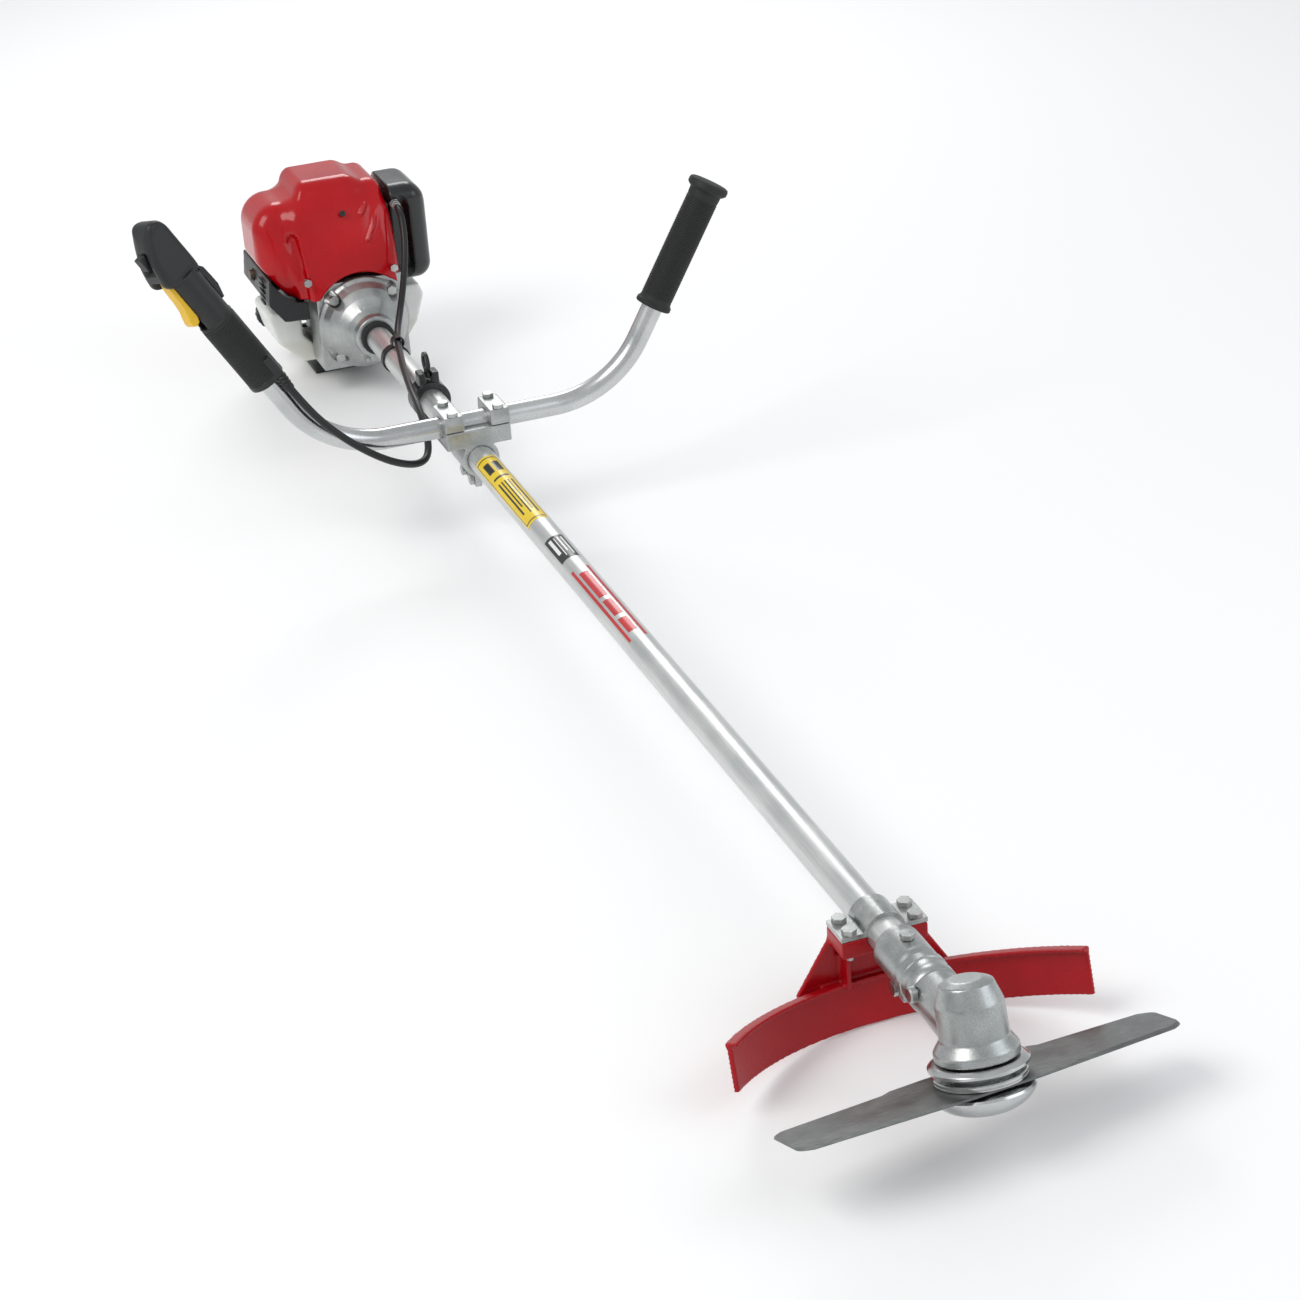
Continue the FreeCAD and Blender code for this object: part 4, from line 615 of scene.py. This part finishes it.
# HDPE, blow moulded: milky, waxy, lets some light in; slightly yellow below the petrol's level.
place = add(tree, "ShaderNodeTexCoord").outputs["Object"]
height_in = add(tree, "ShaderNodeSeparateXYZ", {0: place}).outputs["Z"]
ripple = add(tree, "ShaderNodeTexNoise", {"Vector": place, "Scale": 1 / (14 * MM), "Detail": 4.0})
level = add(tree, "ShaderNodeMapRange", {"Value": height_in, "From Min": 0.052, "From Max": 0.058})
milky = add(tree, "ShaderNodeMix", {"Factor": level.outputs["Result"], 6: linear("#DAD9CB"),
                                    7: linear("#ECEDEA")}, data_type="RGBA")
shade = add(tree, "ShaderNodeMix", {"Factor": ripple.outputs["Fac"], 6: linear("#D8DAD6"),
                                    7: milky.outputs[2]}, data_type="RGBA")
grain = add(tree, "ShaderNodeTexNoise", {"Vector": place, "Scale": 1 / (1.1 * MM), "Detail": 2.0})
skin = add(tree, "ShaderNodeBump", {"Height": grain.outputs["Fac"], "Distance": 0.03 * MM, "Strength": 1.0})
tree.links.new(shade.outputs[2], shader.inputs["Base Color"])
tree.links.new(skin.outputs["Normal"], shader.inputs["Normal"])
shader.inputs["Roughness"].default_value = 0.38
shader.inputs["Subsurface Weight"].default_value = 0.35
shader.inputs["Subsurface Radius"].default_value = (1.0, 0.95, 0.85)
shader.inputs["Subsurface Scale"].default_value = 6 * MM
recast("fuel_tank", "fuel_tank_moulding", tank_white, "root", "white_tank", 1.3, 14)
star_knob("fuel_cap_ribbed", (-18.9, -80, 66), (-1, 0, 0), 17, 14.4, 16, nylon, "fuel_lid", "black_plastic",
          "fuel_cap")
star_knob("oil_cap_ribbed", (18, 46.4, 86), (0, 1, 0), 11, 12, 12, nylon, "oil_lid", "black_plastic",
          "oil_cap")

# ---------------------------------------------------------------- engine stand and recoil starter
# A pressed steel stand, powder coated black, and the starter's black nylon case behind the engine, with
# its pulley, braided rope and grip.

# Powder coat on steel: black, slightly pebbled, worn to grey on its corners.
powder_coat = surface("powder_coat_black", "#1C1E1F", "#121314", 1.4, 0.05, (0.35, 0.5), corner=1.0,
                      worn="#5A5D5F")
# Polyester rope, braided: off-white strands at 2 mm, with a dark fleck.
rope_white = surface("polyester_rope_braided", "#E4E1D8", "#8F8C84", 2.0, 0.35, (0.7, 0.85),
                     stretch=(1, 1, 0.6))
clad(powder_coat, "engine_stand")
clad(rope_white, "starter_rope")
recast("recoil_case", "recoil_case_moulding", nylon, "root", "black_plastic", 1.1, 4)
for count in range(18):
    angle = 2 * pi * count / 18
    rib = turn_up(f"recoil_rib_{count}", [(0, 1.3), (20, 1.3), (21, 0.6)],
                  (-0.0572, 0.021 * cos(angle), 0.084 + 0.021 * sin(angle)), (0, cos(angle), sin(angle)), 10)
    add_piece(f"recoil_rib_{count}", rib, nylon, "root", "black_plastic")
recast("starter_grip", "starter_grip_moulding", nylon, "starter", "black_plastic", 0.6, 5)

# ---------------------------------------------------------------- cable band and harness eye
# A nylon strap holds the cable on the tube. Behind the bar a two-piece moulded clamp carries the steel
# eye for the harness hook, which swings on a pin.
recast("cable_band", "cable_band_moulding", nylon, "root", "black_plastic", 0.5, 4)
recast("hanger_clamp", "hanger_clamp_moulding", black_pp, "root", "black_plastic", 0.7, 7)
recast("hanger_ring", "hanger_eye_forging", powder_coat, "harness_eye", "black_steel", 0.45, 8)

# ---------------------------------------------------------------- handlebar and its clamp
# A bent 22 mm aluminium tube between two die-cast caps, bolted down on a die-cast bracket that also
# pinches the main tube.

# Aluminium tube, brushed and anodised: bright, with lines round the bar.
bar_aluminium = surface("anodised_aluminium_bar", "#D6D8D7", "#B2B5B5", 0.9, 0.015, (0.2, 0.33),
                        metallic=1.0, patch=50)
clad(bar_aluminium, "handlebar")
recast("bar_bracket", "bar_bracket_casting", die_cast, "root", "cast_aluminium", 0.8, 6)
recast("bar_caps", "bar_caps_casting", die_cast, "root", "cast_aluminium", 0.6, 6)

# ---------------------------------------------------------------- plain grip
# A thick rubber sleeve pushed over the left horn, with a rolled foot, fine rings and an end flange.
BAR_X, BAR_Z = 534.5, 117
BAR_STRAIGHT, BAR_BEND, BAR_TURN, BAR_BARE = 88, 110, radians(59.5), 36


def horn(side, past):
    """A point on the bar's line, past the end of its bend, in millimetres."""
    return Vector((BAR_X, side * (BAR_STRAIGHT + BAR_BEND * sin(BAR_TURN) + past * cos(BAR_TURN)),
                   BAR_Z + BAR_BEND * (1 - cos(BAR_TURN)) + past * sin(BAR_TURN)))


def rings(start, end, pitch, top, dip):
    """Rounded rings between two heights, as pairs for a turned form."""
    found = []
    for count in range(int((end - start) / pitch)):
        base = start + count * pitch
        found += [(base, dip), (base + 0.18 * pitch, top), (base + 0.62 * pitch, top),
                  (base + 0.8 * pitch, dip)]
    return found


grip_form = ([(0, 11.6), (0, 17.8), (0.9, 18.6), (4.4, 18.6), (5.6, 17.4), (7.6, 16.4), (10, 16.3)]
             + rings(11, 120, 2.4, 16.5, 15.95)
             + [(121.5, 16.4), (127, 16.6), (129.4, 19.8), (131, 21), (134.6, 21), (136.6, 20.2), (137.6, 18),
                (138, 14), (138.2, 0)])
add_piece("plain_grip_sleeve", turn_up("plain_grip_sleeve", grip_form, horn(1, BAR_BARE) * MM,
                                       horn(1, 2) - horn(1, 1)), rubber, "root", "black_rubber", "plain_grip")

# ---------------------------------------------------------------- throttle grip
# Two nylon half shells round the right horn, with a broad head over the trigger. A yellow trigger, a
# safety lever behind it and a black stop switch are let into it; a rubber sleeve covers the lower half.
GRIP_BASE = horn(-1, BAR_BARE)
GRIP_UP = (horn(-1, 2) - horn(-1, 1)).normalized()
GRIP_FACE = radians(-62)
TIP = radians(90) - BAR_TURN
GRIP_OUT = Vector((cos(GRIP_FACE), sin(GRIP_FACE) * cos(TIP), sin(GRIP_FACE) * sin(TIP)))
GRIP_SIDE = GRIP_UP.cross(GRIP_OUT)
GRIP_FRAME = np.array([GRIP_OUT, GRIP_SIDE, GRIP_UP])


def grip_point(out, side, up):
    """A point of the grip in metres, from its own three directions in millimetres."""
    return (GRIP_BASE + GRIP_OUT * out + GRIP_SIDE * side + GRIP_UP * up) * MM


def throttle_head_form(p):
    q = (p - np.array(GRIP_BASE)) @ GRIP_FRAME.T
    out, side, up = q.T
    form = brick(q, (-17.8, -16.6, 132), (26.5, 16.6, 203), 6)
    form = carve(form, (out - 26.5) * 0.93 + (up - 158) * 0.37, 12)
    form = carve(form, (out - 19) * 0.74 + (up - 183) * 0.67, 10)
    form = carve(form, (out + 12) * -0.66 + (up - 199) * 0.75, 8)
    form = carve(form, (out - 24) * 0.55 + (143 - up) * 0.84, 5)
    form = carve(form, (np.abs(side) - 16.6) * 0.96 + (141 - up) * 0.28, 6)
    panel = np.abs(side) - 15.7
    inset = carve(brick(q, (-13, -30, 147), (17, 30, 194), 6), (out - 11) * 0.88 + (up - 176) * 0.47, 8)
    form = carve(form, -np.maximum(inset, -panel), 1.0)
    form = carve(form, -brick(q, (15, -6.4, 162), (60, 6.4, 191), 1.5), 1.2)
    form = carve(form, -brick(q, (-2, -6.9, 100), (60, 6.9, 151), 1.5), 1.2)
    return carve(form, -brick(q, (-60, -5.2, 100), (-9, 5.2, 139.5), 1.5), 1.2)


recast("throttle_housing", "throttle_housing_moulding", nylon, "root", "black_plastic", 0.8, 5,
       (grip_point(0, 0, 140), GRIP_UP))
add_piece("throttle_head_shell", mould("throttle_head_shell", grip_point(-2, 0, 170) / MM,
                                       throttle_head_form, 100), nylon, "root", "black_plastic")
sleeve = [(6.6, 17.4), (7.2, 18.4)] + rings(8, 82, 2.4, 18.6, 18.05) + [(83, 18.5), (84, 17.4)]
add_piece("throttle_grip_sleeve", turn_up("throttle_grip_sleeve", sleeve, GRIP_BASE * MM, GRIP_UP), rubber,
          "root", "black_rubber")
for count, (out, up) in enumerate(((-9, 152), (-8, 188), (11, 156))):
    screw = turn_up(f"grip_screw_{count}", [(-1.5, 2.9), (0.3, 2.9), (0.9, 2.4), (1.0, 1.4), (0.1, 1.2),
                                            (0.1, 0)], grip_point(out, -15.4, up), -GRIP_SIDE, 24)
    add_piece(f"grip_screw_{count}", screw, zinc_plate, "root", "zinc_fasteners")

# ABS, moulded: signal yellow, smooth, with a soft gloss.
yellow_abs = surface("abs_yellow_moulded", "#EBC00C", "#D9A906", 1.2, 0.012, (0.25, 0.36), Coat_Weight=0.2)
trigger_outline = ((3, 146.5), (13, 149), (18.5, 147), (20.4, 138), (20.8, 126), (22, 114), (25, 105),
                   (26.4, 100), (25.6, 96), (22, 94), (18, 95.5), (15, 102), (12, 116), (9, 132), (3, 139))
shape = bmesh.new()
ends = [[shape.verts.new(grip_point(out, across, up)) for out, up in trigger_outline] for across in (-6, 6)]
shape.faces.new(ends[0])
shape.faces.new(ends[1][::-1])
for k in range(len(trigger_outline)):
    n = (k + 1) % len(trigger_outline)
    shape.faces.new((ends[0][k], ends[1][k], ends[1][n], ends[0][n]))
bmesh.ops.recalc_face_normals(shape, faces=shape.faces)
add_piece("trigger_moulding", settle("trigger_moulding", shape, 0.5, 8), yellow_abs, "trigger",
          "yellow_plastic", "throttle_trigger")
recast("trigger_lock", "lock_lever_moulding", nylon, "lock_lever", "black_plastic", 0.5, 5)
recast("stop_switch", "stop_switch_moulding", nylon, "switch", "black_plastic", 0.4, 4)

# ---------------------------------------------------------------- guard
# An injection-moulded polypropylene guard in deep red: a curved wall behind the blade, a ribbed back
# plate and a seat, held on the tube by a zinc-plated strap and four bolts.

# Polypropylene, moulded: deep red, satin, slightly darker in its flow lines.
red_pp = surface("polypropylene_deep_red", "#AE0414", "#95030F", 1.5, 0.03, (0.26, 0.4), patch=55,
                 Specular_IOR_Level=0.32)
recast("guard", "guard_moulding", red_pp, "root", "guard_red", 1.1, 5)

# ---------------------------------------------------------------- gear head
# A die-cast angle gear case clamped on the tube's end, with a steel grease plug, and under it the turned
# flanges that hold the blade. A dished steel bowl runs on the ground below the blade.
HEAD_AT = Vector((1.68, 0, 0.084))
HEAD_TILT = radians(18.26)
HEAD_UP = Vector((-sin(HEAD_TILT), 0, cos(HEAD_TILT)))
recast("gear_case", "gear_case_casting", die_cast, "root", "cast_aluminium", 0.75, 7)

collar = [(0, 17.4), (0.3, 18.8), (1.2, 19.4), (7, 19.4), (8, 18.7), (15, 18.7), (16, 19.3), (23, 19.3),
          (24.5, 18.4), (25, 17.2)]
add_piece("gear_case_collar", turn_up("gear_case_collar", collar, (1.594, 0, 0.084), (1, 0, 0)), die_cast,
          "root", "cast_aluminium")

# Steel, turned bright: cool mirror-like grey broken by fine tool rings about the blade's axis.
bright_steel, tree, shader = blank("steel_turned_bright")
place = add(tree, "ShaderNodeTexCoord").outputs["Object"]
shifted = add(tree, "ShaderNodeVectorMath", {0: place, 1: HEAD_AT}, operation="SUBTRACT").outputs["Vector"]
level = add(tree, "ShaderNodeVectorMath", {0: shifted, 1: HEAD_UP}, operation="DOT_PRODUCT").outputs["Value"]
reach = add(tree, "ShaderNodeVectorMath", {0: shifted}, operation="LENGTH").outputs["Value"]
ringed = add(tree, "ShaderNodeCombineXYZ", {"X": reach, "Y": level})
marks = add(tree, "ShaderNodeTexNoise", {"Vector": ringed.outputs["Vector"], "Scale": 1 / (0.5 * MM),
                                         "Detail": 2.0})
smudge = add(tree, "ShaderNodeTexNoise", {"Vector": place, "Scale": 1 / (16 * MM), "Detail": 4.0})
tone = add(tree, "ShaderNodeMix", {"Factor": smudge.outputs["Fac"], 6: linear("#AEB1B1"),
                                   7: linear("#D3D5D4")}, data_type="RGBA")
dull = add(tree, "ShaderNodeMapRange", {"Value": smudge.outputs["Fac"], "From Min": 0.3, "From Max": 0.7,
                                        "To Min": 0.14, "To Max": 0.3})
tooled = add(tree, "ShaderNodeBump", {"Height": marks.outputs["Fac"], "Distance": 0.006 * MM,
                                      "Strength": 1.0})
tree.links.new(tone.outputs[2], shader.inputs["Base Color"])
tree.links.new(dull.outputs["Result"], shader.inputs["Roughness"])
tree.links.new(tooled.outputs["Normal"], shader.inputs["Normal"])
shader.inputs["Metallic"].default_value = 1.0
flanges = [(-13.5, 6.1), (-13.5, 31.2), (-13.9, 32.2), (-15.6, 35.0), (-16.2, 35.5), (-18.0, 35.5),
           (-18.6, 34.9), (-19.7, 26.2), (-20.3, 25.0), (-21.8, 25.0), (-22.4, 26.2), (-23.3, 32.2),
           (-24.0, 33.0), (-25.4, 33.0), (-25.7, 32.6), (-26.1, 32.6), (-26.4, 33.0), (-27.4, 33.0),
           (-27.9, 32.4), (-27.9, 6.1)]
add_piece("blade_flanges", turn_up("blade_flanges", flanges, HEAD_AT, HEAD_UP, 96), bright_steel, "output",
          "bright_steel", "blade_holder")
bowl = [(-30.0, 6.4), (-30.5, 17), (-31.7, 34.2), (-32.6, 36.5), (-34.2, 37.5), (-36.2, 37.2),
        (-39.2, 35.4), (-42.2, 32.8), (-45.2, 29.0), (-47.2, 25.4), (-48.5, 21.8), (-49.0, 18.8),
        (-49.0, 13.6), (-48.7, 13.0), (-46.9, 13.0), (-46.6, 19.4), (-44.9, 25.0), (-40.8, 31.2),
        (-35.2, 34.8), (-34.0, 33.8), (-32.4, 17), (-32.4, 6.4)]
add_piece("stabiliser_bowl_pressing", turn_up("stabiliser_bowl_pressing", bowl, HEAD_AT, HEAD_UP, 96),
          bright_steel, "output", "bright_steel", "stabiliser_bowl")

# ---------------------------------------------------------------- blade
# A flat two-tooth bar of hardened spring steel, blanked, with its long edges ground to a bevel near
# the tips. It is clamped between the flange and the bowl.

# Spring steel, hardened: mid grey with a rolled grain along the bar.
spring_steel = surface("spring_steel_hardened", "#888B8A", "#646766", 1.0, 0.02, (0.32, 0.48), metallic=0.9,
                       stretch=(1, 0.12, 1), patch=30)
BLADE_HALF, BLADE_LOW, BLADE_HIGH, BEVEL = 152.5, -29.8, -28.0, 3.6
stations = []
for reach, half, ground in ((30, 30, 0), (56, 28.6, 0), (62, 28.3, 1), (104, 26.1, 1), (143, 24.1, 1),
                            (148, 21.4, 1), (151, 19, 1), (BLADE_HALF, 16, 1)):
    stations.append((reach, half, ground))
stations = [(-reach, half, ground) for reach, half, ground in stations[::-1]] + stations
shape = bmesh.new()
loops = []
for reach, half, ground in stations:
    inset = BEVEL * ground
    section = ((-half, BLADE_LOW), (half, BLADE_LOW), (half, BLADE_HIGH - 1.2 * ground),
               (half - inset - 0.01, BLADE_HIGH), (-half + inset + 0.01, BLADE_HIGH),
               (-half, BLADE_HIGH - 1.2 * ground))
    loops.append([shape.verts.new((across * MM, reach * MM, height * MM)) for across, height in section])
for low, high in zip(loops, loops[1:]):
    for k in range(6):
        n = (k + 1) % 6
        face = shape.faces.new((low[k], low[n], high[n], high[k]))
        face.material_index = 1 if k in (2, 4) else 0
shape.faces.new(loops[0])
shape.faces.new(loops[-1][::-1])
bmesh.ops.recalc_face_normals(shape, faces=shape.faces)
BLADE_TURN = radians(6.8)
tilt = Matrix.Translation(HEAD_AT) @ Matrix.Rotation(-HEAD_TILT, 4, "Y") @ Matrix.Rotation(BLADE_TURN, 4, "Z")
shape.transform(tilt)
blade_mesh = bpy.data.meshes.new("blade_bar")
shape.to_mesh(blade_mesh)
shape.free()
blade_bar = add_piece("blade_bar", blade_mesh, spring_steel, "output", "blade_steel", "blade", smooth=False)
blade_mesh.materials.append(ground_steel)
